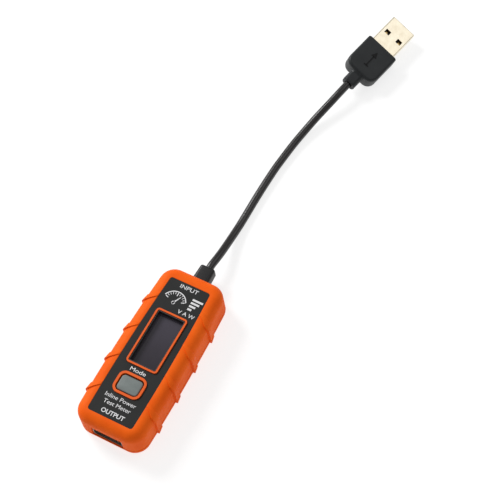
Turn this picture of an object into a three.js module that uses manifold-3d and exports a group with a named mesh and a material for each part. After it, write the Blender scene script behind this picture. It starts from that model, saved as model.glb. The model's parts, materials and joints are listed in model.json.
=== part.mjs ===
// USB in-line power meter with a captive input lead, in millimetres.
// Frame: +Z out of the display face, +Y towards the input lead. The origin is the centre
// of the flat rear face, so the meter lies on z = 0.

import * as THREE from 'three';
import { mergeVertices } from 'three/addons/utils/BufferGeometryUtils.js';
import Module from 'manifold-3d';

const wasm = await Module();
wasm.setup();

// ---------------------------------------------------------------- driving dimensions

// Housing, from the outside in
const bodyLength = 73.5;
const bodyWidth = 30.4;
const bodyHeight = 15;
const widestY = -13;
const sideRadius = 776;
const cornerRadius = 6.5;
const frontEdgeRadius = 4.2;
const rearEdgeRadius = 2;
const overmouldWall = 1.5;
const overmouldTop = 1.3;
const overmouldFloor = 1.4;
const caseWall = 1.3;
const casePlate = 1.3;
const caseFloor = 0.95;
const partingZ = 3.2;
const lipHeight = 2.2;
const lipWall = 0.9;

// Clearances
const seatGap = 0.3;
const glueGap = 0.1;
const solderGap = 0.05;

// Grip ribs on the long sides
const ribCount = 4;
const ribPitch = 14.2;
const firstRibY = -24.7;
const ribWidth = 3.3;
const ribTipWidth = 1.8;
const ribStep = 0.85;
const ribRise = 0.3;
const ribSweep = 3.6;
const ribRoot = 0.5;
const ribFootZ = 1.1;

// Front label, display window and mode button
const labelSideMargin = 5;
const labelInputMargin = 5.4;
const labelOutputMargin = 4.6;
const labelCorner = 1.1;
const labelThickness = 0.4;
const labelRecess = 0.1;
const rimHeight = 0.4;
const windowWidth = 12.3;
const windowLength = 24.1;
const windowCorner = 0.6;
const windowY = 4.5;
const windowRim = 0.75;
const windowDepth = 2.6;
const lensLap = 1;
const lensThickness = 1.1;
const lensBevel = 0.2;
const bezelWall = 0.35;
const bezelGap = 0.15;
const bezelRecess = 0.3;
const buttonY = -16.6;
const buttonWidth = 9.4;
const buttonLength = 6.7;
const buttonCorner = 1.5;
const buttonGap = 0.45;
const buttonRim = 1;
const buttonProud = 0.2;
const buttonTravel = 0.4;
const buttonFlange = 1.1;
const buttonFlangeThickness = 0.6;
const buttonWall = 1;
const buttonRoof = 1.4;
const buttonEdgeRadius = 0.5;
const nibRadius = 1.1;

// Circuit board and what it carries
const keyRoom = 1.05;
const boardThickness = 1;
const boardEdgeGap = 0.5;
const boardInputMargin = 9.3;
const panelSideLap = 1.1;
const panelEndLap = 1.7;
const panelThickness = 1.6;
const panelFrameWall = 1;
const panelFrameCorner = 0.4;
const panelFrameHeight = 2;
const flexWidth = 8;
const flexThickness = 0.25;
const flexReach = 3.2;
const switchWidth = 6;
const switchLength = 3.5;
const switchHeight = 1.1;
const plungerRadius = 0.8;
const plungerHeight = 0.9;
const plungerSpare = 0.1;

// Output socket, USB type A
const socketWidth = 13.1;
const socketHeight = 5.7;
const socketLength = 13.6;
const socketRecess = 0.5;
const socketWall = 0.3;
const sheetCorner = 0.6;
const springSetback = 2.4;
const springLength = 5.6;
const springWidth = 2.2;
const springSpacing = 6.4;
const springSlot = 0.4;
const socketMouthGap = 0.35;
const tongueWidth = 11.1;
const tongueThickness = 1.84;
const tongueLength = 8.9;
const tongueOffset = 0.3;
const insulatorBlock = 2.9;
const contactPitches = [-3.5, -1, 1, 3.5];
const contactWidth = 1;
const contactThickness = 0.25;
const contactSetback = 1;

// Case screws
const bossSideInset = 5.35;
const bossEndInset = 8.75;
const bossRadius = 2.3;
const screwRadius = 1;
const screwLength = 7;
const screwHeadRadius = 2;
const screwHeadHeight = 1.3;
const screwRecess = 0.25;
const crossWidth = 0.55;
const crossLength = 2.2;
const crossDepth = 0.7;

// Lead: boot at the housing, cable and conductors
const cableDiameter = 3.3;
const bootSideWall = 1.95;
const bootFaceWall = 1.45;
const bootReach = 7.4;
const bootCorner = 1.6;
const bootNeckInset = 0.8;
const bootFlange = 0.6;
const bootFlangeThickness = 1.2;
const cableSides = 8;
const cableStep = 6.6;
const wireDiameter = 1;
const wireSpread = 0.75;
const wireReach = 9;

// Plug, USB type A, lying on one long edge of its moulding; plugY starts at the input end
const plugX = 14.78;
const plugY = 131.875;
const plugYaw = -12.9;
const plugRoll = 21;
const plugClearance = 0.05;
const plugSideWall = 1.7;
const plugFaceWall = 1.65;
const plugLength = 16.4;
const plugFrontCorner = 2;
const plugRearCorner = 3.8;
const plugEdgeRadius = 1.2;
const neckSideWall = 1.4;
const neckFaceWall = 1.15;
const neckLength = 5.6;
const neckCorner = 1.9;
const neckEndRadius = 0.6;
const shellWidth = 12;
const shellHeight = 4.5;
const shellWall = 0.3;
const shellReach = 14.6;
const shellRoot = 5;
const shellWindowWidth = 2.5;
const shellWindowLength = 2;
const shellWindowSpacing = 6.4;
const shellWindowFromTip = 7.4;
const plugInsulator = 1.9;
const plugInsulatorRecess = 0.4;

// Centreline of the cable from the boot to the plug's neck, y from the meter's input end
const cableRoute = [
  [0, 7.7, 6.45],
  [0.05, 10, 6.37],
  [0.3, 13.25, 5.95],
  [0.35, 17.25, 5.05],
  [0.2, 21.25, 4],
  [0.05, 25.25, 3.05],
  [-0.05, 29.25, 2.35],
  [-0.1, 33.25, 1.9],
  [-0.15, 39.25, 1.75],
  [-0.2, 45.25, 1.72],
  [-0.15, 51.25, 1.72],
  [0, 57.25, 1.72],
  [0.25, 63.25, 1.72],
  [0.8, 69.25, 1.75],
  [1.45, 75.25, 1.85],
  [2.25, 80.25, 2.1],
  [3.3, 85.45, 2.6],
  [4.55, 90.85, 3.35],
  [5.95, 95.85, 4.2],
  [7.35, 100.85, 5],
  [8.55, 105.45, 5.65],
  [9.7, 110.25, 5.96],
];

// ------------------------------------------------------------------- derived levels

const halfLength = bodyLength / 2;
const caseInset = overmouldWall + seatGap;
const roomInset = caseInset + caseWall;
const caseTopZ = bodyHeight - overmouldTop - seatGap;
const plateUnderZ = caseTopZ - casePlate;
const labelTopZ = bodyHeight - labelRecess;
const labelUnderZ = labelTopZ - labelThickness;
const padTopZ = labelUnderZ - glueGap;
const rimTopZ = bodyHeight + rimHeight;
const lensTopZ = rimTopZ - windowDepth;
const caseRearZ = overmouldFloor + seatGap;
const floorTopZ = caseRearZ + caseFloor;
const boardTopZ = plateUnderZ - seatGap - buttonFlangeThickness - buttonTravel - keyRoom;
const boardUnderZ = boardTopZ - boardThickness;
const socketZ = boardUnderZ - seatGap - socketHeight / 2;
const socketFrontY = -halfLength + socketRecess;
const socketRearY = socketFrontY + socketLength;
const frontShellZ = partingZ + seatGap / 2;
const rearShellZ = partingZ - seatGap / 2;
const bootWidth = cableDiameter + 2 * bootSideWall;
const bootHeight = cableDiameter + 2 * bootFaceWall;
const cableZ = frontShellZ + bootHeight / 2;
const boardInputY = halfLength - boardInputMargin;
const panelWidth = windowWidth + 2 * panelSideLap;
const panelLength = windowLength + 2 * panelEndLap;
const switchTopZ = boardTopZ + solderGap + switchHeight;
const plungerTopZ = switchTopZ + buttonTravel + plungerSpare;
const plugWidth = shellWidth + 2 * plugSideWall;
const plugThickness = shellHeight + 2 * plugFaceWall;

// ---------------------------------------------------------------------- solid tools

const cornerSteps = 6;
const sideSteps = 6;
const edgeSteps = 5;

// How far a cut runs past what it cuts, and how deep joined solids run into each other
const overcut = 1;
const weld = 0.2;

/** A geometry as a solid that can be joined and cut. */
function solid(geometry) {
  const bare = geometry.index ? geometry.clone() : geometry;
  for (const name of ['normal', 'uv']) {
    bare.deleteAttribute(name);
  }
  const merged = mergeVertices(bare, 1e-4);
  return new wasm.Manifold(new wasm.Mesh({
    numProp: 3,
    vertProperties: new Float32Array(merged.attributes.position.array),
    triVerts: new Uint32Array(merged.index.array),
  }));
}

/** The geometry of a solid. */
function geometryOf(body) {
  const mesh = body.getMesh();
  const geometry = new THREE.BufferGeometry();
  geometry.setAttribute('position', new THREE.BufferAttribute(mesh.vertProperties, 3));
  geometry.setIndex(new THREE.BufferAttribute(mesh.triVerts, 1));
  geometry.computeVertexNormals();
  return geometry;
}

/** One solid with others joined to it. */
function join(body, ...others) {
  return others.reduce((sum, other) => sum.add(other), body);
}

/** One solid with others taken out of it. */
function cut(body, ...others) {
  return others.reduce((rest, other) => rest.subtract(other), body);
}

/** Points and outward normals on an arc, from one angle to another. */
function arcPoints(centreX, centreY, radius, from, to, steps) {
  return Array.from({ length: steps + 1 }, (_, i) => {
    const angle = from + ((to - from) * i) / steps;
    const nx = Math.cos(angle);
    const ny = Math.sin(angle);
    return { x: centreX + radius * nx, y: centreY + radius * ny, nx, ny };
  });
}

/** A right half outline and its mirror image, as one closed outline. */
function mirrored(rightHalf) {
  const leftHalf = rightHalf.map((p) => ({ x: -p.x, y: p.y, nx: -p.nx, ny: p.ny })).reverse();
  return [...rightHalf, ...leftHalf];
}

/** The housing's plan: bowed sides, straight ends, round corners. */
function barrelOutline(halfWidth, yLow, yHigh, corner, radius) {
  const sideX = halfWidth - radius;
  const cornerAt = (y) => {
    const x = sideX + Math.sqrt((radius - corner) ** 2 - (y - widestY) ** 2);
    return { x, y, angle: Math.atan2(y - widestY, x - sideX) };
  };
  const low = cornerAt(yLow + corner);
  const high = cornerAt(yHigh - corner);
  const side = arcPoints(sideX, widestY, radius, low.angle, high.angle, sideSteps);
  return mirrored([
    ...arcPoints(low.x, low.y, corner, -Math.PI / 2, low.angle, cornerSteps),
    ...side.slice(1, -1),
    ...arcPoints(high.x, high.y, corner, high.angle, Math.PI / 2, cornerSteps),
  ]);
}

/** A rectangle with round corners; the corners at the low end may have another radius. */
function rectOutline(width, length, corner, lowCorner = corner) {
  const high = { x: width / 2 - corner, y: length / 2 - corner };
  const low = { x: width / 2 - lowCorner, y: lowCorner - length / 2 };
  return mirrored([
    ...arcPoints(low.x, low.y, lowCorner, -Math.PI / 2, 0, cornerSteps),
    ...arcPoints(high.x, high.y, corner, 0, Math.PI / 2, cornerSteps),
  ]);
}

/** A stack of outlines, each at its own height and inset, closed at both ends. */
function loft(outline, levels) {
  const positions = levels.flatMap(({ z, inset }) =>
    outline.flatMap((p) => [p.x - inset * p.nx, p.y - inset * p.ny, z]));
  const count = outline.length;
  const index = [];
  for (let level = 0; level + 1 < levels.length; level++) {
    for (let i = 0; i < count; i++) {
      const a = level * count + i;
      const b = level * count + ((i + 1) % count);
      index.push(a, b, b + count, a, b + count, a + count);
    }
  }
  const top = (levels.length - 1) * count;
  for (let i = 1; i + 1 < count; i++) {
    index.push(0, i + 1, i, top, top + i, top + i + 1);
  }
  const geometry = new THREE.BufferGeometry();
  geometry.setAttribute('position', new THREE.Float32BufferAttribute(positions, 3));
  geometry.setIndex(index);
  return geometry;
}

/** Levels of a loft with quarter-round edges, inset all over by a wall. */
function roundedLevels(zLow, zHigh, lowRadius, highRadius, inset = 0) {
  const quarter = (radius) => (radius > 0 ? Array.from({ length: edgeSteps + 1 }, (_, i) => {
    const angle = (i / edgeSteps) * (Math.PI / 2);
    return { fall: radius * (1 - Math.sin(angle)), inset: inset + radius * (1 - Math.cos(angle)) };
  }) : [{ fall: 0, inset }]);
  return [
    ...quarter(lowRadius).reverse().map((e) => ({ z: zLow + e.fall, inset: e.inset })),
    ...quarter(highRadius).map((e) => ({ z: zHigh - e.fall, inset: e.inset })),
  ];
}

/** A prism of a convex outline between two heights. */
function prism(outline, zLow, zHigh, inset = 0) {
  return loft(outline, [{ z: zLow, inset }, { z: zHigh, inset }]);
}

/** A box between two corners. */
function block(x0, x1, y0, y1, z0, z1) {
  const box = new THREE.BoxGeometry(x1 - x0, y1 - y0, z1 - z0);
  return box.translate((x0 + x1) / 2, (y0 + y1) / 2, (z0 + z1) / 2);
}

/** A box centred in X on a given place. */
function centredBlock(x, width, y0, y1, z0, z1) {
  return block(x - width / 2, x + width / 2, y0, y1, z0, z1);
}

/** A cylinder along Z. */
function pin(x, y, z0, z1, radius, sides = 20) {
  const geometry = new THREE.CylinderGeometry(radius, radius, z1 - z0, sides);
  return geometry.rotateX(Math.PI / 2).translate(x, y, (z0 + z1) / 2);
}

/** A loft built along Z, laid down so that its height runs along +Y and its length along Z. */
function alongY(geometry) {
  return geometry.rotateX(Math.PI / 2).rotateZ(Math.PI);
}

/** A profile drawn in Y and Z, carried along X about a given place. */
function profileAcross(points, x, width) {
  const shape = new THREE.Shape(points.map(([y, z]) => new THREE.Vector2(y, z)));
  const geometry = new THREE.ExtrudeGeometry(shape, { depth: width, bevelEnabled: false });
  const turn = new THREE.Matrix4().makeBasis(
    new THREE.Vector3(0, 1, 0),
    new THREE.Vector3(0, 0, 1),
    new THREE.Vector3(1, 0, 0),
  );
  return geometry.applyMatrix4(turn).translate(x - width / 2, 0, 0);
}

/** A round tube along a smooth curve through the points. */
function tube(points, diameter, sides, steps) {
  const section = new THREE.Shape(Array.from({ length: sides }, (_, i) => {
    const angle = (2 * Math.PI * i) / sides;
    return new THREE.Vector2(Math.cos(angle), Math.sin(angle)).multiplyScalar(diameter / 2);
  }));
  const extrudePath = new THREE.CatmullRomCurve3(points.map((p) => new THREE.Vector3(...p)));
  return new THREE.ExtrudeGeometry(section, { steps, extrudePath, bevelEnabled: false });
}

// ------------------------------------------------------------------------ materials

const finish = (color, roughness, metalness = 0) =>
  new THREE.MeshStandardMaterial({ color, roughness, metalness });

const finishes = {
  orangeRubber: finish(0xf0662a, 0.6),
  orangePlastic: finish(0xf0702f, 0.45),
  blackPlastic: finish(0x2b2c2b, 0.45),
  blackRubber: finish(0x222425, 0.4),
  label: finish(0x2c2d2b, 0.5),
  greyRubber: finish(0x788280, 0.7),
  lens: finish(0x4b4852, 0.1),
  panel: finish(0x1c1d24, 0.2),
  board: finish(0x1f5c3a, 0.5),
  amber: finish(0xb5762a, 0.4),
  steel: finish(0xd9d4c6, 0.25, 1),
  darkSteel: finish(0x6d6f72, 0.35, 1),
  gold: finish(0xd1a449, 0.3, 1),
  whitePlastic: finish(0xe6e2d8, 0.5),
  ceramic: finish(0xc7b299, 0.6),
  chip: finish(0x232325, 0.5),
  redWire: finish(0xb02a24, 0.5),
  whiteWire: finish(0xdcdad4, 0.5),
  greenWire: finish(0x2f7d42, 0.5),
  blackWire: finish(0x242424, 0.5),
};

/** A named sub-part. */
function part(name, geometry, material) {
  const mesh = new THREE.Mesh(geometry, material);
  mesh.name = name;
  return mesh;
}

// -------------------------------------------------------------------------- outlines

const bodyOutline = barrelOutline(bodyWidth / 2, -halfLength, halfLength, cornerRadius, sideRadius);
const labelOutline = barrelOutline(
  bodyWidth / 2 - labelSideMargin,
  labelOutputMargin - halfLength,
  halfLength - labelInputMargin,
  labelCorner,
  sideRadius - labelSideMargin,
);

/** Half the housing's width at a station along Y. */
function halfWidthAt(y) {
  return bodyWidth / 2 - sideRadius + Math.sqrt(sideRadius ** 2 - (y - widestY) ** 2);
}

const screwPlaces = [
  ['output_left', -1, -1],
  ['output_right', 1, -1],
  ['input_left', -1, 1],
  ['input_right', 1, 1],
].map(([place, sideX, endY]) => {
  const y = endY * (halfLength - bossEndInset);
  return { place, x: sideX * (halfWidthAt(y) - bossSideInset), y };
});

/** The window or button outline in its place, grown by a margin. */
function placed(width, length, corner, y, margin) {
  const grown = rectOutline(width + 2 * margin, length + 2 * margin, corner + margin);
  return grown.map((p) => ({ ...p, y: p.y + y }));
}

const windowOutline = (margin) => placed(windowWidth, windowLength, windowCorner, windowY, margin);
const buttonOutline = (margin) => placed(buttonWidth, buttonLength, buttonCorner, buttonY, margin);

// ------------------------------------------------------------- cuts through the ends

/** The way through the output end for a plug. */
function socketMouth() {
  const grow = socketMouthGap;
  return solid(block(
    -socketWidth / 2 - grow,
    socketWidth / 2 + grow,
    -halfLength - overcut,
    socketRearY + overcut,
    socketZ - socketHeight / 2 - grow,
    socketZ + socketHeight / 2 + grow,
  ));
}

/** The slot at the input end, wide outside for the boot and narrow inside for its neck. */
function bootSlot(inset, depth) {
  const half = bootWidth / 2 - inset + seatGap;
  const top = cableZ + bootHeight / 2 - inset + seatGap;
  return solid(block(-half, half, halfLength - depth, halfLength + overcut, partingZ - overcut, top));
}

// ---------------------------------------------------------------- housing sub-parts

/** Place and outward direction on the side's cross-section at a station, swept over 0 to 1. */
function flankPoint(y, side, t) {
  const half = halfWidthAt(y);
  const flat = half - frontEdgeRadius;
  const start = half - labelSideMargin + seatGap;
  if (t < 0) {
    return { x: side * THREE.MathUtils.lerp(flat, start, -t), z: bodyHeight, nx: 0, nz: 1 };
  }
  const angle = Math.max(0, 1 - t) * (Math.PI / 2);
  const drop = Math.max(0, t - 1) * (bodyHeight - frontEdgeRadius - frontShellZ);
  const nx = Math.cos(angle);
  const nz = Math.sin(angle);
  return {
    x: side * (flat + frontEdgeRadius * nx),
    z: bodyHeight - frontEdgeRadius + frontEdgeRadius * nz - drop,
    nx: side * nx,
    nz,
  };
}

/** A rib's section: its foot on the surface, and its heights at its low and its high edge. */
function ribSection(yEdge, width, step, rise) {
  return [
    [yEdge, -ribRoot],
    [yEdge + width, -ribRoot],
    [yEdge + width, rise],
    [yEdge, step],
  ];
}

/** A rib through its sections, each of four points. */
function ribSolid(side, sections) {
  const index = [];
  const last = sections.length - 1;
  for (let s = 0; s < last; s++) {
    for (let i = 0; i < 4; i++) {
      const a = 4 * s + i;
      const b = 4 * s + ((i + 1) % 4);
      index.push(a, b, b + 4, a, b + 4, a + 4);
    }
  }
  const end = 4 * last;
  index.push(0, 2, 1, 0, 3, 2, end, end + 1, end + 2, end, end + 2, end + 3);
  const geometry = new THREE.BufferGeometry();
  geometry.setAttribute('position', new THREE.Float32BufferAttribute(sections.flat(2), 3));
  geometry.setIndex(side > 0 ? index : index.reverse());
  return solid(geometry);
}

/** A grip rib on the front jacket: it sweeps back over the front edge and stands square on the flank. */
function rib(side, yLow) {
  const stations = [-1, 0, 0.12, 0.24, 0.36, 0.48, 0.6, 0.8, 1, 2];
  const sweepStart = 0.6;
  return ribSolid(side, stations.map((t) => {
    const towardsLabel = THREE.MathUtils.clamp(1 - t / sweepStart, 0, 1);
    const flatShare = Math.max(0, -t);
    const yEdge = yLow + ribSweep * (0.85 * towardsLabel ** 1.3 + 0.15 * flatShare);
    const width = THREE.MathUtils.lerp(ribWidth, ribTipWidth, towardsLabel);
    const step = ribStep * (1 - 0.6 * towardsLabel - 0.25 * flatShare);
    const rise = ribRise * (1 - towardsLabel) + 0.02;
    return ribSection(yEdge, width, step, rise).map(([y, height]) => {
      const p = flankPoint(y, side, t);
      return [p.x + height * p.nx, y, p.z + height * p.nz];
    });
  }));
}

/** The foot of a grip rib, on the rear jacket's flank. */
function ribFoot(side, yLow) {
  return ribSolid(side, [rearShellZ, ribFootZ].map((z) =>
    ribSection(yLow, ribWidth, ribStep, ribRise + 0.02)
      .map(([y, height]) => [side * (halfWidthAt(y) + height), y, z])));
}

/** Something for every grip rib, on both sides. */
function everyRib(make) {
  return [-1, 1].flatMap((side) =>
    Array.from({ length: ribCount }, (_, i) => make(side, firstRibY + i * ribPitch)));
}

/** The soft front jacket with its grip ribs. */
function frontOvermould() {
  const outside = solid(loft(bodyOutline, roundedLevels(frontShellZ, bodyHeight, 0, frontEdgeRadius)));
  const inside = solid(loft(bodyOutline, roundedLevels(
    frontShellZ - overcut,
    bodyHeight - overmouldTop,
    0,
    frontEdgeRadius - overmouldWall,
    overmouldWall,
  )));
  const opening = solid(prism(
    labelOutline,
    bodyHeight - 2 * overmouldTop,
    bodyHeight + overcut,
    -seatGap / 2,
  ));
  const slot = bootSlot(0, overmouldWall + overcut);
  return geometryOf(cut(join(outside, ...everyRib(rib)), inside, opening, socketMouth(), slot));
}

/** The hard front shell: label seat, window and button rims, screw bosses. */
function frontCase() {
  const outside = solid(loft(bodyOutline, roundedLevels(
    frontShellZ,
    caseTopZ,
    0,
    frontEdgeRadius - caseInset,
    caseInset,
  )));
  const inside = solid(loft(bodyOutline, roundedLevels(
    frontShellZ - overcut,
    plateUnderZ,
    0,
    frontEdgeRadius - roomInset,
    roomInset,
  )));
  const pad = solid(prism(labelOutline, plateUnderZ + casePlate / 2, padTopZ, seatGap / 2));
  const rims = [
    solid(prism(windowOutline(windowRim), padTopZ - labelThickness, rimTopZ)),
    solid(prism(buttonOutline(buttonGap + buttonRim), padTopZ - labelThickness, rimTopZ)),
  ];
  const bosses = screwPlaces.map(({ x, y }) =>
    solid(pin(x, y, frontShellZ, plateUnderZ + casePlate / 2, bossRadius)));
  const holes = [
    solid(prism(windowOutline(0), plateUnderZ - overcut, rimTopZ + overcut)),
    solid(prism(windowOutline(lensLap + seatGap), plateUnderZ - overcut, lensTopZ + glueGap)),
    solid(prism(buttonOutline(buttonGap), plateUnderZ - overcut, rimTopZ + overcut)),
  ];
  const pilots = screwPlaces.map(({ x, y }) =>
    solid(pin(x, y, frontShellZ - overcut, caseRearZ + screwLength + overcut, screwRadius + seatGap)));
  const body = cut(
    join(cut(join(outside, pad, ...rims), inside), ...bosses),
    ...holes,
    ...pilots,
    socketMouth(),
    bootSlot(bootNeckInset, roomInset + overcut),
  );
  return geometryOf(body);
}

/** The way for each screw's shank or head through a rear shell. */
function screwHoles(radius) {
  return screwPlaces.map(({ x, y }) =>
    solid(pin(x, y, -overcut, floorTopZ + overcut, radius + seatGap, 24)));
}

/** The soft rear jacket with the feet of the grip ribs. */
function rearOvermould() {
  const outside = solid(loft(bodyOutline, roundedLevels(0, rearShellZ, rearEdgeRadius, 0)));
  const inside = solid(prism(bodyOutline, overmouldFloor, rearShellZ + overcut, overmouldWall));
  const holes = screwHoles(screwHeadRadius);
  return geometryOf(cut(join(outside, ...everyRib(ribFoot)), inside, ...holes, socketMouth()));
}

/** The hard rear shell with the lip that locates it in the front one. */
function rearCase() {
  const outside = solid(prism(bodyOutline, caseRearZ, rearShellZ, caseInset));
  const inside = solid(prism(bodyOutline, floorTopZ, rearShellZ + overcut, roomInset));
  const rootZ = floorTopZ - caseFloor / 2;
  const lipTopZ = floorTopZ + lipHeight;
  const lipInset = roomInset + seatGap;
  const lipOutside = solid(prism(bodyOutline, rootZ, lipTopZ, lipInset));
  const lipInside = solid(prism(bodyOutline, rootZ - overcut, lipTopZ + overcut, lipInset + lipWall));
  const bossRoom = screwPlaces.map(({ x, y }) =>
    solid(pin(x, y, rootZ - overcut, lipTopZ + overcut, bossRadius + seatGap)));
  const neckRoom = solid(centredBlock(
    0,
    bootWidth + 2 * bootFlange + 2 * seatGap,
    halfLength - lipInset - lipWall - bootFlangeThickness - seatGap,
    halfLength,
    rootZ - overcut,
    lipTopZ + overcut,
  ));
  const lip = cut(lipOutside, lipInside, ...bossRoom, neckRoom);
  const tray = cut(outside, inside);
  return geometryOf(cut(join(tray, lip), ...screwHoles(screwRadius), socketMouth()));
}

/** A cross-head case screw standing head down. */
function caseScrew({ x, y }) {
  const headZ = caseRearZ - glueGap - screwHeadHeight;
  const head = solid(loft(
    rectOutline(2 * screwHeadRadius, 2 * screwHeadRadius, screwHeadRadius),
    roundedLevels(0, screwHeadHeight, screwRecess, 0),
  ).translate(x, y, headZ));
  const shankZ = headZ + screwHeadHeight;
  const shank = solid(pin(x, y, shankZ - weld, shankZ + screwLength, screwRadius, 12));
  const slots = [[crossLength, crossWidth], [crossWidth, crossLength]].map(([width, length]) =>
    solid(centredBlock(x, width, y - length / 2, y + length / 2, headZ - overcut, headZ + crossDepth)));
  return geometryOf(cut(join(head, shank), ...slots));
}

// ------------------------------------------------------- label, window, mode button

/** The printed overlay, cut out round the two rims. */
function frontLabel() {
  const sheet = solid(prism(labelOutline, labelUnderZ, labelTopZ));
  const holes = [
    windowOutline(windowRim + seatGap / 2),
    buttonOutline(buttonGap + buttonRim + seatGap / 2),
  ].map((outline) => solid(prism(outline, labelUnderZ - overcut, labelTopZ + overcut)));
  return geometryOf(cut(sheet, ...holes));
}

/** The smoked window over the display, cemented into its pocket from behind. */
function displayLens() {
  return loft(windowOutline(lensLap), roundedLevels(lensTopZ - lensThickness, lensTopZ, 0, lensBevel));
}

/** The dark lining of the window's well, from the rim down to the lens. */
function windowBezel() {
  const low = lensTopZ + glueGap;
  const high = rimTopZ - bezelRecess;
  const outside = solid(prism(windowOutline(-bezelGap), low, high));
  const inside = solid(prism(windowOutline(-bezelGap - bezelWall), low - overcut, high + overcut));
  return geometryOf(cut(outside, inside));
}

/** The mode key: a hollow cap with a retaining flange and a nib for the switch. */
function modeButton() {
  const flangeTopZ = plateUnderZ - seatGap;
  const flangeUnderZ = flangeTopZ - buttonFlangeThickness;
  const topZ = bodyHeight + buttonProud;
  const cap = solid(loft(buttonOutline(0), roundedLevels(flangeUnderZ, topZ, 0, buttonEdgeRadius)));
  const flange = solid(prism(buttonOutline(buttonFlange), flangeUnderZ, flangeTopZ));
  const hollow = solid(prism(buttonOutline(-buttonWall), flangeUnderZ - overcut, topZ - buttonRoof));
  const nib = solid(pin(0, buttonY, plungerTopZ + glueGap, topZ - buttonRoof + weld, nibRadius));
  return geometryOf(join(cut(join(cap, flange), hollow), nib));
}

// --------------------------------------------------------------------- electronics

/** The tactile switch under the mode key. */
function modeSwitch() {
  const body = solid(centredBlock(
    0,
    switchWidth,
    buttonY - switchLength / 2,
    buttonY + switchLength / 2,
    boardTopZ + solderGap,
    switchTopZ,
  ));
  const well = solid(pin(0, buttonY, boardTopZ - overcut, switchTopZ + overcut, plungerRadius + seatGap));
  return geometryOf(cut(body, well));
}

/** The switch's plunger. */
function switchPlunger() {
  return pin(0, buttonY, plungerTopZ - plungerHeight, plungerTopZ, plungerRadius, 16);
}

/** The circuit board, shaped to the housing and notched round the screw bosses. */
function circuitBoard() {
  const blank = solid(prism(bodyOutline, boardUnderZ, boardTopZ, roomInset + boardEdgeGap));
  const beyond = solid(block(
    -bodyWidth,
    bodyWidth,
    boardInputY,
    halfLength + overcut,
    boardUnderZ - overcut,
    boardTopZ + overcut,
  ));
  const notches = screwPlaces.map(({ x, y }) =>
    solid(pin(x, y, boardUnderZ - overcut, boardTopZ + overcut, bossRadius + boardEdgeGap)));
  return geometryOf(cut(blank, beyond, ...notches));
}

/** The display panel behind the window. */
function displayPanel() {
  const z = boardTopZ + glueGap;
  const half = panelLength / 2;
  return centredBlock(0, panelWidth, windowY - half, windowY + half, z, z + panelThickness);
}

/** The frame that holds the display panel square to the window. */
function displayFrame() {
  const z = boardTopZ + glueGap;
  const inner = rectOutline(panelWidth + 2 * seatGap, panelLength + 2 * seatGap, panelFrameCorner);
  const outer = rectOutline(
    panelWidth + 2 * (seatGap + panelFrameWall),
    panelLength + 2 * (seatGap + panelFrameWall),
    panelFrameCorner + panelFrameWall,
  );
  const wall = solid(prism(outer, z, z + panelFrameHeight));
  const room = solid(prism(inner, z - overcut, z + panelFrameHeight + overcut));
  const wayOut = solid(centredBlock(
    0,
    flexWidth + 2 * seatGap,
    panelLength / 2,
    panelLength,
    z - overcut,
    z + panelThickness,
  ));
  return geometryOf(cut(wall, room, wayOut).translate([0, windowY, 0]));
}

/** The flexible tail from the panel's end down to the board. */
function displayFlex() {
  const start = windowY + panelLength / 2 + solderGap;
  const low = boardTopZ + solderGap;
  const high = low + glueGap + flexThickness;
  return profileAcross([
    [start, high],
    [start + flexReach * 0.5, high],
    [start + flexReach * 0.75, low],
    [start + flexReach, low],
    [start + flexReach, low + flexThickness],
    [start + flexReach * 0.78, low + flexThickness],
    [start + flexReach * 0.53, high + flexThickness],
    [start, high + flexThickness],
  ], 0, flexWidth);
}

/** A component soldered under the board. */
function underBoard(x, y, width, length, height, chamfer) {
  const top = boardUnderZ - solderGap;
  const outline = rectOutline(width, length, chamfer).map((p) => ({ ...p, x: p.x + x, y: p.y + y }));
  return loft(outline, [
    { z: top - height, inset: chamfer / 2 },
    { z: top - height + chamfer, inset: 0 },
    { z: top, inset: 0 },
  ]);
}

const boardComponents = [
  ['shunt_resistor', 0, 14.5, 6.4, 3.2, 0.9, 0.3, finishes.ceramic],
  ['sense_amplifier', 6, 9.5, 3, 3, 1, 0.2, finishes.chip],
  ['microcontroller', 0, 4, 7, 7, 1, 0.25, finishes.chip],
  ['voltage_regulator', -6.5, 11, 3, 3.4, 1.2, 0.25, finishes.chip],
  ['crystal', 6.5, 2.5, 3.2, 5, 1, 0.3, finishes.steel],
  ['input_capacitor', -6.8, 4, 3.5, 2.8, 1.9, 0.3, finishes.amber],
  ['output_capacitor', 6, -8.5, 3.5, 2.8, 1.9, 0.3, finishes.amber],
  ['inductor', -5, -8.5, 4.4, 4.4, 2.2, 0.5, finishes.blackPlastic],
];

// -------------------------------------------------------------------- output socket

/** The metal shell of the output socket, with its contact springs cut free. */
function socketShell() {
  const wall = solid(alongY(prism(rectOutline(socketWidth, socketHeight, sheetCorner), 0, socketLength)));
  const room = solid(alongY(prism(
    rectOutline(socketWidth - 2 * socketWall, socketHeight - 2 * socketWall, sheetCorner - socketWall),
    -overcut,
    socketLength + overcut,
  )));
  const springs = [-1, 1].flatMap((face) => [-1, 1].flatMap((side) => {
    const x = (side * springSpacing) / 2;
    const half = (springWidth + springSlot) / 2;
    const z0 = face * (socketHeight - socketWall) / 2 - socketWall;
    const z1 = z0 + 2 * socketWall;
    const frontY = springSetback;
    return [
      solid(centredBlock(x - half, springSlot, frontY, frontY + springLength, z0, z1)),
      solid(centredBlock(x + half, springSlot, frontY, frontY + springLength, z0, z1)),
      solid(centredBlock(x, 2 * half + springSlot, frontY, frontY + springSlot, z0, z1)),
    ];
  }));
  return geometryOf(cut(wall, room, ...springs).translate([0, socketFrontY, socketZ]));
}

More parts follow.
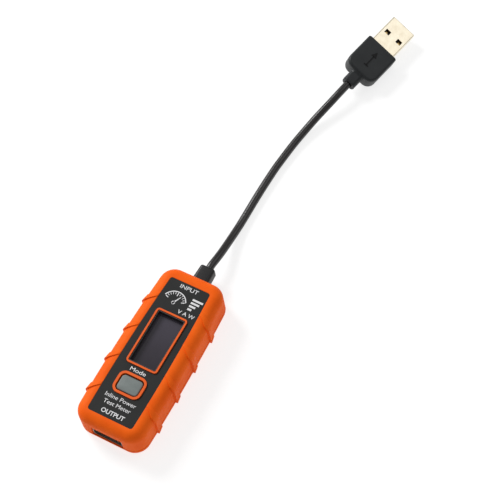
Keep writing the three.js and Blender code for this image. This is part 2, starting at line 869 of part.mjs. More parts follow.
/** The socket's insulator: a block at the back and the tongue that a plug slides over. */
function socketInsulator() {
  const blockWidth = socketWidth - 2 * socketWall - 2 * seatGap;
  const blockHalf = socketHeight / 2 - socketWall - seatGap;
  const blockFrontY = socketRearY - insulatorBlock;
  const back = solid(centredBlock(
    0,
    blockWidth,
    blockFrontY,
    socketRearY,
    socketZ - blockHalf,
    socketZ + blockHalf,
  ));
  const tongue = solid(centredBlock(
    0,
    tongueWidth,
    blockFrontY - tongueLength,
    blockFrontY + weld,
    socketZ + tongueOffset,
    socketZ + tongueOffset + tongueThickness,
  ));
  const ways = contactPitches.map((x) => solid(centredBlock(
    x,
    contactWidth + 2 * seatGap,
    blockFrontY - weld,
    socketRearY + overcut,
    socketZ + tongueOffset - contactThickness - 2 * seatGap,
    socketZ + tongueOffset + seatGap,
  )));
  const rails = contactPitches.map((x) => solid(centredBlock(
    x,
    contactWidth + 2 * seatGap,
    blockFrontY - tongueLength + contactSetback - seatGap,
    blockFrontY,
    socketZ + tongueOffset - overcut,
    socketZ + tongueOffset + contactThickness / 2 + glueGap,
  )));
  return geometryOf(cut(join(back, tongue), ...ways, ...rails));
}

/** One sprung contact of the output socket, from the tongue up to the board. */
function socketContact(x) {
  const frontY = socketRearY - insulatorBlock - tongueLength + contactSetback;
  const rearY = socketRearY + seatGap;
  const top = socketZ + tongueOffset + contactThickness / 2;
  const low = top - contactThickness;
  return profileAcross([
    [frontY, low],
    [rearY + contactThickness, low],
    [rearY + contactThickness, boardUnderZ - solderGap],
    [rearY, boardUnderZ - solderGap],
    [rearY, top],
    [frontY, top],
  ], x, contactWidth);
}

// ------------------------------------------------------------------------ input lead

/** The moulded boot: round-cornered block outside, neck in the wall, flange inside. */
function cableBoot() {
  const outside = rectOutline(bootWidth, bootHeight, bootCorner);
  const neck = rectOutline(bootWidth - 2 * bootNeckInset, bootHeight - 2 * bootNeckInset, bootCorner / 2);
  const flange = rectOutline(bootWidth + 2 * bootFlange, bootHeight, bootCorner);
  const shoulderY = halfLength - overmouldWall + glueGap;
  const innerY = halfLength - roomInset - seatGap;
  const endY = halfLength + bootReach;
  const body = join(
    solid(alongY(loft(outside, roundedLevels(shoulderY, endY, 0, bootCorner)))),
    solid(alongY(prism(neck, innerY - weld, shoulderY + weld))),
    solid(alongY(prism(flange, innerY - bootFlangeThickness, innerY))),
  );
  return geometryOf(body.translate([0, 0, cableZ]));
}

/** One conductor from the boot's inner face to its pad under the board. */
function leadWire(fromX, fromZ, padX) {
  const startY = halfLength - roomInset - 2 * seatGap - bootFlangeThickness;
  const padY = startY - wireReach;
  const endZ = boardUnderZ - wireDiameter / 2 - solderGap;
  const route = [
    [fromX, startY, cableZ + fromZ],
    [fromX, startY - 1.2, cableZ + fromZ],
    [(fromX + padX) / 2, startY - wireReach * 0.45, (cableZ + fromZ + endZ) / 2 - 0.4],
    [padX, startY - wireReach * 0.8, endZ - 0.15],
    [padX, padY, endZ],
  ];
  return tube(route, wireDiameter, 6, 10);
}

const leadWires = [
  ['wire_supply', -wireSpread, -wireSpread, -5.4, finishes.redWire],
  ['wire_data_minus', -wireSpread, wireSpread, -1.8, finishes.whiteWire],
  ['wire_data_plus', wireSpread, wireSpread, 1.8, finishes.greenWire],
  ['wire_ground', wireSpread, -wireSpread, 5.4, finishes.blackWire],
];

/** The cable, a tube along its route. */
function leadCable() {
  const route = cableRoute.map(([x, y, z]) => [x, halfLength + y, z]);
  const curve = new THREE.CatmullRomCurve3(route.map((p) => new THREE.Vector3(...p)));
  return tube(route, cableDiameter, cableSides, Math.round(curve.getLength() / cableStep));
}

// ------------------------------------------------------------------------------ plug

/** The plug's moulding and neck, in the plug's own frame: +Y out of the front face. */
function plugMoulding() {
  const frontSpare = plugFrontCorner + overcut;
  const plan = rectOutline(plugWidth, plugLength + frontSpare, plugFrontCorner, plugRearCorner)
    .map((p) => ({ ...p, y: p.y + (frontSpare - plugLength) / 2 }));
  const levels = roundedLevels(-plugThickness / 2, plugThickness / 2, plugEdgeRadius, plugEdgeRadius);
  const front = solid(centredBlock(0, 2 * plugWidth, 0, 2 * frontSpare, -plugThickness, plugThickness));
  const neckOutline = rectOutline(
    cableDiameter + 2 * neckSideWall,
    cableDiameter + 2 * neckFaceWall,
    neckCorner,
  );
  const neckLevels = roundedLevels(-plugLength - neckLength, weld - plugLength, neckEndRadius, 0);
  const neck = solid(alongY(loft(neckOutline, neckLevels)));
  const pocket = solid(centredBlock(
    0,
    shellWidth + 2 * seatGap,
    -shellRoot - seatGap,
    overcut,
    -shellHeight / 2 - seatGap,
    shellHeight / 2 + seatGap,
  ));
  return geometryOf(cut(join(solid(loft(plan, levels)), neck), front, pocket));
}

/** The plug's folded metal shell with its latch windows. */
function plugShell() {
  const outer = rectOutline(shellWidth, shellHeight, sheetCorner);
  const wall = solid(alongY(prism(outer, -shellRoot, shellReach)));
  const room = solid(alongY(prism(
    rectOutline(shellWidth - 2 * shellWall, shellHeight - 2 * shellWall, sheetCorner - shellWall),
    -shellRoot - overcut,
    shellReach + overcut,
  )));
  const windowMid = shellReach - shellWindowFromTip;
  const windows = [-1, 1].map((side) => solid(centredBlock(
    (side * shellWindowSpacing) / 2,
    shellWindowWidth,
    windowMid - shellWindowLength / 2,
    windowMid + shellWindowLength / 2,
    -shellHeight,
    shellHeight,
  )));
  return geometryOf(cut(wall, room, ...windows));
}

const plugInsulatorTop = seatGap - shellHeight / 2 + shellWall + plugInsulator;

/** The plug's insulator, filling the lower half of its shell. */
function plugTongue() {
  const width = shellWidth - 2 * shellWall - 2 * seatGap;
  const tip = shellReach - plugInsulatorRecess;
  const low = plugInsulatorTop - plugInsulator;
  return centredBlock(0, width, seatGap - shellRoot, tip, low, plugInsulatorTop);
}

/** One flat contact of the plug. */
function plugContact(x) {
  const z = plugInsulatorTop + glueGap;
  const tip = shellReach - plugInsulatorRecess - contactSetback;
  return centredBlock(x, contactWidth, seatGap, tip, z, z + contactThickness);
}

/** The plug, set down so that the long edge of its moulding meets z = 0. */
function plugGroup() {
  const roll = THREE.MathUtils.degToRad(plugRoll);
  const reachX = plugWidth / 2 - plugEdgeRadius;
  const reachZ = plugThickness / 2 - plugEdgeRadius;
  const restHeight = reachX * Math.sin(roll) + reachZ * Math.cos(roll) + plugEdgeRadius;
  const group = new THREE.Group();
  group.position.set(plugX, halfLength + plugY, restHeight + plugClearance);
  group.rotation.set(0, roll, THREE.MathUtils.degToRad(plugYaw), 'ZYX');
  group.add(
    part('plug_moulding', plugMoulding(), finishes.blackRubber),
    part('plug_shell', plugShell(), finishes.steel),
    part('plug_insulator', plugTongue(), finishes.whitePlastic),
  );
  contactPitches.forEach((x, i) => {
    group.add(part(`plug_contact_${i + 1}`, plugContact(x), finishes.gold));
  });
  return group;
}

// -------------------------------------------------------------------------- assembly

const meter = new THREE.Group();
meter.add(
  part('front_overmould', frontOvermould(), finishes.orangeRubber),
  part('rear_overmould', rearOvermould(), finishes.orangeRubber),
  part('front_case', frontCase(), finishes.orangePlastic),
  part('rear_case', rearCase(), finishes.blackPlastic),
  part('front_label', frontLabel(), finishes.label),
  part('display_lens', displayLens(), finishes.lens),
  part('window_bezel', windowBezel(), finishes.blackPlastic),
  part('display_panel', displayPanel(), finishes.panel),
  part('display_frame', displayFrame(), finishes.blackPlastic),
  part('display_flex', displayFlex(), finishes.amber),
  part('mode_button', modeButton(), finishes.greyRubber),
  part('mode_switch', modeSwitch(), finishes.blackPlastic),
  part('mode_switch_plunger', switchPlunger(), finishes.whitePlastic),
  part('circuit_board', circuitBoard(), finishes.board),
  part('output_socket_shell', socketShell(), finishes.steel),
  part('output_socket_insulator', socketInsulator(), finishes.whitePlastic),
  part('cable_boot', cableBoot(), finishes.blackRubber),
  part('cable', leadCable(), finishes.blackRubber),
  plugGroup(),
);
contactPitches.forEach((x, i) => {
  meter.add(part(`output_contact_${i + 1}`, socketContact(x), finishes.gold));
});
for (const [name, x, y, width, length, height, chamfer, material] of boardComponents) {
  meter.add(part(name, underBoard(x, y, width, length, height, chamfer), material));
}
for (const [name, fromX, fromZ, padX, material] of leadWires) {
  meter.add(part(name, leadWire(fromX, fromZ, padX), material));
}
for (const place of screwPlaces) {
  meter.add(part(`case_screw_${place.place}`, caseScrew(place), finishes.darkSteel));
}

export default meter;
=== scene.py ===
"""USB in-line power meter with a captive lead: its visible pieces, their finishes, the light and the camera.

Sizes are in millimetres until a mesh is made. +Z comes out of the display face and +Y runs towards the lead.
"""

from __future__ import annotations

import json
import logging
import math
from collections.abc import Callable
from dataclasses import dataclass, field
from enum import Enum

import bmesh
import bpy
import numpy as np
from mathutils import Matrix, Vector
from mathutils.geometry import delaunay_2d_cdt


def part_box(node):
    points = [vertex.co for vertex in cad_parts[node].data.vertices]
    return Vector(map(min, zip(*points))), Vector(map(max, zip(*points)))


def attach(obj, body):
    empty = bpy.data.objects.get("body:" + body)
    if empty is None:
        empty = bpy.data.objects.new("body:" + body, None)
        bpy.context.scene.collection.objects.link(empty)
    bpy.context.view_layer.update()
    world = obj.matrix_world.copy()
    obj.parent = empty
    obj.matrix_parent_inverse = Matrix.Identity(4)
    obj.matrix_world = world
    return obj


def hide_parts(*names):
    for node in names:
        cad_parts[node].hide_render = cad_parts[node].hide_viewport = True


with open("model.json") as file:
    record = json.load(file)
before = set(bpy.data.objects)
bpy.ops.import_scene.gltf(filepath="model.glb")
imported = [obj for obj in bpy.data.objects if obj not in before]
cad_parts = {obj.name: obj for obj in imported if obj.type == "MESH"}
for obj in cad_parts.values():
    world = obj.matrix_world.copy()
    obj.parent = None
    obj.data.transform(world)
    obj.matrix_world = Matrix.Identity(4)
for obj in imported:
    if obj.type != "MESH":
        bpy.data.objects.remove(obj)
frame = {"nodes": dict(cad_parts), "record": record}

MM = 0.001
HOUSING = "housing"
KEY = "mode_key"
logging.basicConfig(level=logging.INFO, format="%(message)s")
log = logging.getLogger("power_meter")

Colour = tuple[float, float, float]


# ------------------------------------------------------------------------- shader tools


def linear(colour: Colour) -> tuple[float, float, float, float]:
    """A colour in 0 to 255 display values as linear light.

    Args:
        colour: red, green and blue, each 0 to 255.

    Returns:
        Linear red, green and blue with full alpha.
    """
    part = np.asarray(colour, dtype=float) / 255
    low = part / 12.92
    high = ((part + 0.055) / 1.055) ** 2.4
    r, g, b = np.where(part <= 0.04045, low, high)
    return float(r), float(g), float(b), 1.0


def _maths(operation: str, swapped: bool = False) -> Callable[[Value, object], Value]:
    """A method that works out one Math node.

    Args:
        operation: the node's operation.
        swapped: whether the other number comes first, as in 1 - mask.

    Returns:
        The method, for a value and an optional other number or value.
    """

    def method(self: Value, other: object = 0.0) -> Value:
        """The operation on this and another."""
        first, second = (other, self) if swapped else (self, other)
        node = self.tree.add("ShaderNodeMath", {"operation": operation}, {0: first, 1: second})
        return Value(self.tree, node.outputs[0])

    return method


class Value:
    """A number that varies over a surface, for use in plain sums."""

    __add__, __radd__ = _maths("ADD"), _maths("ADD", swapped=True)
    __sub__, __rsub__ = _maths("SUBTRACT"), _maths("SUBTRACT", swapped=True)
    __mul__, __rmul__ = _maths("MULTIPLY"), _maths("MULTIPLY", swapped=True)
    sine = _maths("SINE")

    def __init__(self, tree: Tree, socket: bpy.types.NodeSocket) -> None:
        """Wraps an output socket of a node tree."""
        self.tree = tree
        self.socket = socket

    def rise(self, start: float, end: float) -> Value:
        """A smooth step from 0 to 1.

        Args:
            start: the value where the step starts.
            end: the value where it ends.

        Returns:
            0 at the start, 1 at the end, smooth between them.
        """
        node = self.tree.add(
            "ShaderNodeMapRange",
            {"interpolation_type": "SMOOTHSTEP", "clamp": True},
            {"Value": self, "From Min": start, "From Max": end, "To Min": 0.0, "To Max": 1.0},
        )
        return Value(self.tree, node.outputs[0])


class Tree:
    """The nodes of one material."""

    def __init__(self, name: str) -> None:
        """Starts an empty material of that name."""
        self.material = bpy.data.materials.new(name)
        self.material.use_nodes = True
        self.nodes = self.material.node_tree.nodes
        self.links = self.material.node_tree.links
        self.nodes.clear()

    def add(
        self,
        kind: str,
        settings: dict[str, object] | None = None,
        inputs: dict[str | int, object] | None = None,
    ) -> bpy.types.Node:
        """Adds one node.

        Args:
            kind: the node's type.
            settings: what is set on the node itself, before its sockets.
            inputs: a value, a Value or a socket for each input, by name or place.

        Returns:
            The new node.
        """
        node = self.nodes.new(kind)
        for key, value in (settings or {}).items():
            setattr(node, key, value)
        for key, value in (inputs or {}).items():
            if isinstance(value, Value):
                self.links.new(value.socket, node.inputs[key])
            elif isinstance(value, bpy.types.NodeSocket):
                self.links.new(value, node.inputs[key])
            else:
                node.inputs[key].default_value = value
        return node

    def _stretched(
        self, coords: bpy.types.NodeSocket, scale: tuple[float, float, float]
    ) -> bpy.types.NodeSocket:
        """Coordinates stretched by a factor for each axis."""
        return self.add("ShaderNodeMapping", {"vector_type": "POINT"}, {0: coords, 3: scale}).outputs[0]

    def place(self, scale: tuple[float, float, float] = (1, 1, 1)) -> bpy.types.NodeSocket:
        """Object coordinates, stretched by a factor for each axis."""
        return self._stretched(self.add("ShaderNodeTexCoord").outputs["Object"], scale)

    def along(self, layer: str, scale: tuple[float, float, float]) -> bpy.types.NodeSocket:
        """The piece's own map of that name, stretched by a factor for each axis."""
        return self._stretched(self.add("ShaderNodeUVMap", {"uv_map": layer}).outputs[0], scale)

    def noise(
        self, place: bpy.types.NodeSocket, size: float, detail: float = 2.0, rough: float = 0.5
    ) -> Value:
        """Soft noise.

        Args:
            place: the coordinates, in metres.
            size: how far apart its lumps are, in millimetres.
            detail: how many finer layers it has.
            rough: how strong those are.

        Returns:
            A value about 0.5, between 0 and 1.
        """
        node = self.add(
            "ShaderNodeTexNoise",
            {"noise_dimensions": "3D"},
            {"Vector": place, "Scale": 1 / (size * MM), "Detail": detail, "Roughness": rough},
        )
        return Value(self, node.outputs["Fac"])

    def cells(self, place: bpy.types.NodeSocket, size: float) -> Value:
        """Distance from the middle of the nearest of many small cells, of a size in millimetres."""
        node = self.add(
            "ShaderNodeTexVoronoi", {"feature": "F1"}, {"Vector": place, "Scale": 1 / (size * MM)}
        )
        return Value(self, node.outputs["Distance"])

    def mix(self, factor: object, first: object, second: object) -> bpy.types.NodeSocket:
        """One colour turning into another as a factor goes from 0 to 1."""
        node = self.add(
            "ShaderNodeMix", {"data_type": "RGBA", "blend_type": "MIX"}, {0: factor, 6: first, 7: second}
        )
        return node.outputs[2]

    def bump(self, height: Value, depth: float, strength: float = 1.0) -> bpy.types.NodeSocket:
        """A bumped normal, where a height of 1 stands a depth in millimetres proud."""
        node = self.add(
            "ShaderNodeBump", None, {"Strength": strength, "Distance": depth * MM, "Height": height}
        )
        return node.outputs[0]

    def close(self, inputs: dict[str, object]) -> bpy.types.Material:
        """Ends the material in one Principled shader.

        Args:
            inputs: the shader's sockets, by name.

        Returns:
            The finished material.
        """
        shader = self.add("ShaderNodeBsdfPrincipled", None, inputs)
        self.add("ShaderNodeOutputMaterial", None, {"Surface": shader.outputs[0]})
        return self.material


# ----------------------------------------------------------------------------- finishes


@dataclass(frozen=True)
class Moulded:
    """Moulded plastic or rubber: mould grain, slow changes of shade and an uneven gloss."""

    name: str
    colour: Colour
    shade: Colour
    roughness: float = 0.5
    grain: float = 0.22
    depth: float = 0.012
    patch: float = 7.0
    gloss_spread: float = 0.1
    specular: float = 0.5
    coat: float = 0.0

    def make(self) -> bpy.types.Material:
        """Colour drifts between two shades over patches, grain lifts the normal, gloss follows both."""
        tree = Tree(self.name)
        place = tree.place()
        drift = tree.noise(place, self.patch, 3.0)
        fine = tree.noise(place, self.grain, 2.0, 0.6)
        specks = tree.cells(place, self.grain * 1.7)
        mask = (drift * 0.8 + fine * 0.35).rise(0.3, 0.85)
        height = fine * 0.6 + specks * 0.4
        gloss = (fine - 0.5) * self.gloss_spread + (drift - 0.5) * self.gloss_spread + self.roughness
        return tree.close(
            {
                "Base Color": tree.mix(mask, linear(self.colour), linear(self.shade)),
                "Roughness": gloss,
                "Specular IOR Level": self.specular,
                "Coat Weight": self.coat,
                "Coat Roughness": 0.2,
                "Normal": tree.bump(height, self.depth),
            }
        )


@dataclass(frozen=True)
class Plated:
    """Plated or drawn metal: fine lines along one axis and faint cloudiness."""

    name: str
    colour: Colour
    shade: Colour
    roughness: float = 0.25
    stretch: tuple[float, float, float] = (1.0, 0.05, 1.0)
    line: float = 0.12
    depth: float = 0.002

    def make(self) -> bpy.types.Material:
        """Stretched noise makes the drawn lines; slow noise clouds the colour and the gloss."""
        tree = Tree(self.name)
        lines = tree.noise(tree.place(self.stretch), self.line, 3.0, 0.6)
        cloud = tree.noise(tree.place(), 2.5, 3.0)
        return tree.close(
            {
                "Base Color": tree.mix(
                    (cloud * 0.7 + lines * 0.3).rise(0.3, 0.8), linear(self.colour), linear(self.shade)
                ),
                "Metallic": 1.0,
                "Roughness": (lines - 0.5) * 0.12 + (cloud - 0.5) * 0.1 + self.roughness,
                "Normal": tree.bump(lines, self.depth),
            }
        )


@dataclass(frozen=True)
class SmokedWindow:
    """The dark window over the display: smooth, with a painted reflection that lightens it along Y."""

    name: str
    upper: Colour
    lower: Colour
    middle: float
    span: float

    def make(self) -> bpy.types.Material:
        """A painted reflection runs from one colour to the other along Y, with slow random patches; very fine
        dust breaks the gloss.
        """
        tree = Tree(self.name)
        place = tree.place()
        split = tree.add("ShaderNodeSeparateXYZ", None, {0: place})
        along = Value(tree, split.outputs[1])
        dust = tree.noise(place, 0.3, 4.0, 0.7)
        low = (self.middle - self.span / 2) * MM
        high = (self.middle + self.span / 2) * MM
        # painted reflection: lighter towards +Y, plus slow random patches of tone
        reflection_and_mottle = along.rise(low, high) + (tree.noise(place, 6.0) - 0.5) * 0.3
        return tree.close(
            {
                "Base Color": tree.mix(reflection_and_mottle, linear(self.lower), linear(self.upper)),
                "Roughness": dust.rise(0.55, 0.9) * 0.12 + 0.08,
                "Specular IOR Level": 0.5,
                "Normal": tree.bump(tree.noise(place, 5.0), 0.004),
            }
        )


@dataclass(frozen=True)
class CableJacket:
    """Extruded jacket: lengthwise draw lines and slow ripples, read from the cable's own map."""

    name: str
    colour: Colour
    shade: Colour
    roughness: float = 0.3

    def make(self) -> bpy.types.Material:
        """The map's U goes once round and its V is metres along; noise is stretched along V."""
        tree = Tree(self.name)
        lines = tree.noise(tree.along("run", (0.01, 0.02, 1.0)), 0.35, 3.0, 0.6)
        ripple = tree.noise(tree.along("run", (0.004, 1.0, 1.0)), 4.0, 2.0)
        grain = tree.noise(tree.place(), 0.18, 2.0)
        return tree.close(
            {
                "Base Color": tree.mix(lines.rise(0.35, 0.75), linear(self.colour), linear(self.shade)),
                "Roughness": (lines - 0.5) * 0.15 + (grain - 0.5) * 0.1 + self.roughness,
                "Specular IOR Level": 0.55,
                "Normal": tree.bump(lines * 0.5 + ripple * 0.7 + grain * 0.2, 0.02),
            }
        )


@dataclass(frozen=True)
class SolderMask:
    """A circuit board: mask over copper tracks, with fine weave showing through."""

    name: str
    colour: Colour
    track: Colour
    weave: float = 14.0

    def make(self) -> bpy.types.Material:
        """Brick joints stand for tracks, and crossed sines make the glass weave."""
        tree = Tree(self.name)
        place = tree.place((1000, 1000, 1000))
        bricks = tree.add(
            "ShaderNodeTexBrick",
            {"offset": 0.35, "squash": 0.7},
            {"Vector": place, "Scale": 0.55, "Mortar Size": 0.035, "Mortar Smooth": 0.3},
        )
        track = Value(tree, bricks.outputs["Fac"])
        split = tree.add("ShaderNodeSeparateXYZ", None, {0: place})
        across, along = (Value(tree, split.outputs[i]) * self.weave for i in (0, 1))
        weave = across.sine() * along.sine()
        return tree.close(
            {
                "Base Color": tree.mix(track, linear(self.colour), linear(self.track)),
                "Roughness": track * -0.1 + 0.38 + weave * 0.03,
                "Normal": tree.bump(track + weave * 0.15, 0.02),
            }
        )


class Finish(Enum):
    """The finishes of the meter, each made once."""

    JACKET = Moulded("jacket_rubber", (244, 102, 20), (233, 88, 12), 0.6, 0.3, 0.014, 9.0, 0.12, 0.08)
    SHELL = Moulded("shell_plastic", (232, 98, 26), (222, 86, 18), 0.4, 0.16, 0.006, 6.0, 0.08, 0.25)
    INNER = Moulded("inner_plastic", (34, 33, 34), (26, 25, 26), 0.5, 0.2, 0.01, 5.0)
    LABEL = Moulded("label_film", (33, 34, 33), (26, 27, 27), 0.5, 0.14, 0.005, 8.0, 0.1, 0.2)
    PRINT = Moulded("label_print", (226, 226, 226), (206, 206, 208), 0.5, 0.12, 0.004, 2.0)
    WINDOW = SmokedWindow("window_glass", (66, 62, 72), (48, 44, 51), 4.5, 24.0)
    PANEL = Moulded("panel_glass", (24, 22, 30), (18, 18, 24), 0.2, 0.2, 0.002, 6.0)
    KEY = Moulded("key_plastic", (113, 121, 119), (101, 109, 107), 0.55, 0.14, 0.008, 3.0, 0.1)
    BOOT = Moulded("boot_rubber", (22, 21, 22), (15, 14, 15), 0.42, 0.25, 0.012, 4.0, 0.1, 0.35)
    PLUG = Moulded("plug_rubber", (33, 36, 37), (25, 28, 30), 0.45, 0.2, 0.01, 6.0, 0.12, 0.3)
    # The plug's arrow is the grip's rubber painted darker: painted shade standing in for the shade on its
    # relief.
    PLUG_MARK_PAINTED_SHADE = Moulded("plug_mark_painted_shade", (13, 13, 14), (9, 9, 10), 0.5, 0.2, 0.01, 3.0, 0.12, 0.2)
    JACKET_LINE = CableJacket("cable_jacket", (15, 12, 12), (24, 18, 16))
    PLUG_METAL = Plated("plug_plating", (243, 234, 212), (231, 219, 194), 0.3, (1.0, 0.05, 1.0))
    SOCKET_METAL = Plated("socket_plating", (190, 190, 184), (168, 168, 160), 0.3)
    GOLD = Plated("contact_gold", (206, 178, 122), (184, 156, 104), 0.22)
    SCREW = Plated("screw_plating", (74, 74, 76), (56, 56, 58), 0.34, (1.0, 1.0, 0.2))
    BOARD = SolderMask("board_mask", (22, 62, 44), (44, 92, 58))
    INSULATOR = Moulded("insulator_plastic", (60, 46, 40), (48, 36, 31), 0.45, 0.2, 0.006, 3.0)
    CERAMIC = Moulded("ceramic_body", (176, 164, 142), (156, 144, 122), 0.4, 0.1, 0.006, 1.5)
    CHIP = Moulded("chip_body", (34, 34, 36), (26, 26, 28), 0.55, 0.1, 0.006, 1.5)
    CAPACITOR = Moulded("capacitor_body", (178, 140, 60), (150, 116, 50), 0.4, 0.1, 0.005, 1.5)
    FLEX = Moulded("flex_film", (150, 92, 34), (130, 78, 28), 0.3, 0.2, 0.003, 2.0)
    RED_WIRE = Moulded("red_wire", (176, 32, 28), (152, 26, 22), 0.36, 0.15, 0.005, 2.0)
    WHITE_WIRE = Moulded("white_wire", (222, 220, 214), (204, 202, 196), 0.36, 0.15, 0.005, 2.0)
    GREEN_WIRE = Moulded("green_wire", (34, 120, 64), (28, 100, 54), 0.36, 0.15, 0.005, 2.0)
    BLACK_WIRE = Moulded("black_wire", (26, 26, 28), (18, 18, 20), 0.36, 0.15, 0.005, 2.0)


_made: dict[Finish, bpy.types.Material] = {}


def material(finish: Finish) -> bpy.types.Material:
    """The material of a finish, made on its first use."""
    if finish not in _made:
        _made[finish] = finish.value.make()
    return _made[finish]


SLOT_FINISH: dict[str, Finish] = {
    "orange_overmould": Finish.JACKET,
    "orange_case": Finish.SHELL,
    "black_case": Finish.INNER,
    "label": Finish.LABEL,
    "lens": Finish.WINDOW,
    "panel": Finish.PANEL,
    "flex": Finish.FLEX,
    "button": Finish.KEY,
    "board": Finish.BOARD,
    "socket_metal": Finish.SOCKET_METAL,
    "insulator": Finish.INSULATOR,
    "gold": Finish.GOLD,
    "ceramic": Finish.CERAMIC,
    "chip": Finish.CHIP,
    "capacitor": Finish.CAPACITOR,
    "boot": Finish.BOOT,
    "red_wire": Finish.RED_WIRE,
    "white_wire": Finish.WHITE_WIRE,
    "green_wire": Finish.GREEN_WIRE,
    "black_wire": Finish.BLACK_WIRE,
    "screw": Finish.SCREW,
    "cable_jacket": Finish.JACKET_LINE,
    "plug_rubber": Finish.PLUG,
    "plug_metal": Finish.PLUG_METAL,
}


# ------------------------------------------------------------------------- mesh tools


@dataclass
class Surface:
    """Points in millimetres and the faces on them."""

    points: np.ndarray
    quads: np.ndarray
    others: list[tuple[int, ...]] = field(default_factory=list)

    def volume(self) -> float:
        """The space inside, less than zero if the faces point inwards.

        Returns:
            The sum over fans of triangles of each corner's triple product, over 6.
        """
        fans = [self.quads[:, [0, 1, 2]], self.quads[:, [0, 2, 3]]] if len(self.quads) else []
        for face in self.others:
            ring = np.asarray(face)
            fans.append(np.column_stack([np.full(len(ring) - 2, ring[0]), ring[1:-1], ring[2:]]))
        a, b, c = np.moveaxis(self.points[np.concatenate(fans)], 1, 0)
        return float(np.einsum("ij,ij->", a, np.cross(b, c)) / 6)

    def outward(self) -> Surface:
        """The same surface with its faces pointing outwards."""
        if self.volume() >= 0:
            return self
        return Surface(self.points, self.quads[:, ::-1], [face[::-1] for face in self.others])

    def moved(self, matrix: np.ndarray, shift: np.ndarray) -> Surface:
        """Every point times a 3x3 matrix of column axes, plus a shift."""
        return Surface(self.points @ matrix.T + shift, self.quads, self.others)


def joined(parts: list[Surface]) -> Surface:
    """Several surfaces as one, their faces counted on.

    Args:
        parts: the surfaces.

    Returns:
        One surface with all their points and faces.
    """
    starts = np.cumsum([0] + [len(p.points) for p in parts])
    return Surface(
        np.concatenate([p.points for p in parts]),
        np.concatenate([p.quads.reshape(-1, 4) + s for p, s in zip(parts, starts)]),
        [tuple(int(i) + int(s) for i in face) for p, s in zip(parts, starts) for face in p.others],
    )


NO_QUADS = np.empty((0, 4), dtype=int)
CORNER_STEPS = 10
THROAT_DEPTHS = np.array([0.0, 0.05, 0.25, 0.6])
RIGHT_CORNERS = ((-math.pi / 2, 1, -1), (0.0, 1, 1))
LEFT_CORNERS = ((math.pi / 2, -1, 1), (math.pi, -1, -1))


def on_circle(angle: np.ndarray) -> np.ndarray:
    """Points on a circle of radius 1: the cosine and the sine of each angle."""
    return np.stack([np.cos(angle), np.sin(angle)], axis=-1)


def lifted(plan: np.ndarray, height: np.ndarray | float) -> np.ndarray:
    """Flat points with a height added.

    Args:
        plan: the points in X and Y; the last axis but one counts them.
        height: one height, or one for each ring of points.

    Returns:
        The same points in X, Y and Z.
    """
    level = np.broadcast_to(np.asarray(height, dtype=float)[..., None, None], plan.shape[:-1] + (1,))
    return np.concatenate([plan, level], axis=-1)


def throat(outline: np.ndarray, radii: tuple[float, ...], places: np.ndarray) -> np.ndarray:
    """Circles that a lofted end turns in to, round a cable.

    Args:
        outline: the ring before them, whose points' directions they keep.
        radii: their radii.
        places: how far along each one is.

    Returns:
        A ring for each radius: the outline's points moved to that distance from the middle.
    """
    circle = on_circle(np.arctan2(outline[:, 1], outline[:, 0]))
    return np.stack([lifted(radius * circle, place) for radius, place in zip(radii, places)])


def lofted(rings: np.ndarray, capped: bool = True) -> Surface:
    """A closed skin over a stack of rings.

    Args:
        rings: an array of rings, each of the same number of points.
        capped: whether the first and last ring are closed with flat faces.

    Returns:
        Quads between neighbouring rings, round and round, and a face on each end.
    """
    rows, cols = rings.shape[:2]
    r, c = np.meshgrid(np.arange(rows - 1), np.arange(cols), indexing="ij")
    n = (c + 1) % cols
    quads = np.stack([r * cols + c, r * cols + n, (r + 1) * cols + n, (r + 1) * cols + c], axis=-1)
    ends = []
    if capped:
        ends = [
            tuple(range(cols - 1, -1, -1)),
            tuple(range((rows - 1) * cols, rows * cols)),
        ]
    return Surface(rings.reshape(-1, 3), quads.reshape(-1, 4), ends).outward()


def walled(outer: np.ndarray, inner: np.ndarray, keep: np.ndarray, foot: bool = True) -> Surface:
    """A wall with two faces whose grids match, with openings.

    Args:
        outer: rows x columns x 3 points of the outer face; the columns go right round.
        inner: the same for the inner face.
        keep: rows - 1 x columns, true for each cell that is there.
        foot: whether the edge of the first row is closed.

    Returns:
        The kept cells of both faces, and a strip from one face to the other along
        every edge that has a kept cell on one side only.
    """
    rows, cols = outer.shape[:2]
    size = rows * cols
    at = np.arange(size).reshape(rows, cols)
    right = np.roll(at, -1, axis=1)
    cell = np.stack([at[:-1], right[:-1], right[1:], at[1:]], axis=-1)[keep]
    faces = [cell, cell[:, ::-1] + size]
    padded = np.pad(keep, ((1, 1), (0, 0)))
    above, below = padded[1:], padded[:-1]
    starts = above & ~below
    ends = below & ~above
    if not foot:
        starts[0] = False
    faces.append(np.stack([right[starts], at[starts], at[starts] + size, right[starts] + size], -1))
    faces.append(np.stack([at[ends], right[ends], right[ends] + size, at[ends] + size], -1))
    before = np.roll(keep, 1, axis=1)
    low, high = at[:-1], at[1:]
    starts = keep & ~before
    ends = before & ~keep
    faces.append(np.stack([low[starts], high[starts], high[starts] + size, low[starts] + size], -1))
    faces.append(np.stack([high[ends], low[ends], low[ends] + size, high[ends] + size], -1))
    quads = np.concatenate(faces)
    used, index = np.unique(quads, return_inverse=True)
    points = np.concatenate([outer.reshape(-1, 3), inner.reshape(-1, 3)])[used]
    return Surface(points, index.reshape(-1, 4))


def rounded_rectangle(width: float, length: float, corner: float) -> tuple[np.ndarray, np.ndarray]:
    """A rectangle with round corners.

    Args:
        width: its size in X.
        length: its size in Y.
        corner: the radius of its corners.

    Returns:
        Its points and outward normals: four quarter circles joined by straight lines.
    """
    turn = np.linspace(0, math.pi / 2, CORNER_STEPS + 1)
    points, normals = [], []
    for start, sx, sy in (*RIGHT_CORNERS, *LEFT_CORNERS):
        normal = on_circle(start + turn)
        centre = np.array([sx * (width / 2 - corner), sy * (length / 2 - corner)])
        points.append(centre + corner * normal)
        normals.append(normal)
    return np.concatenate(points), np.concatenate(normals)


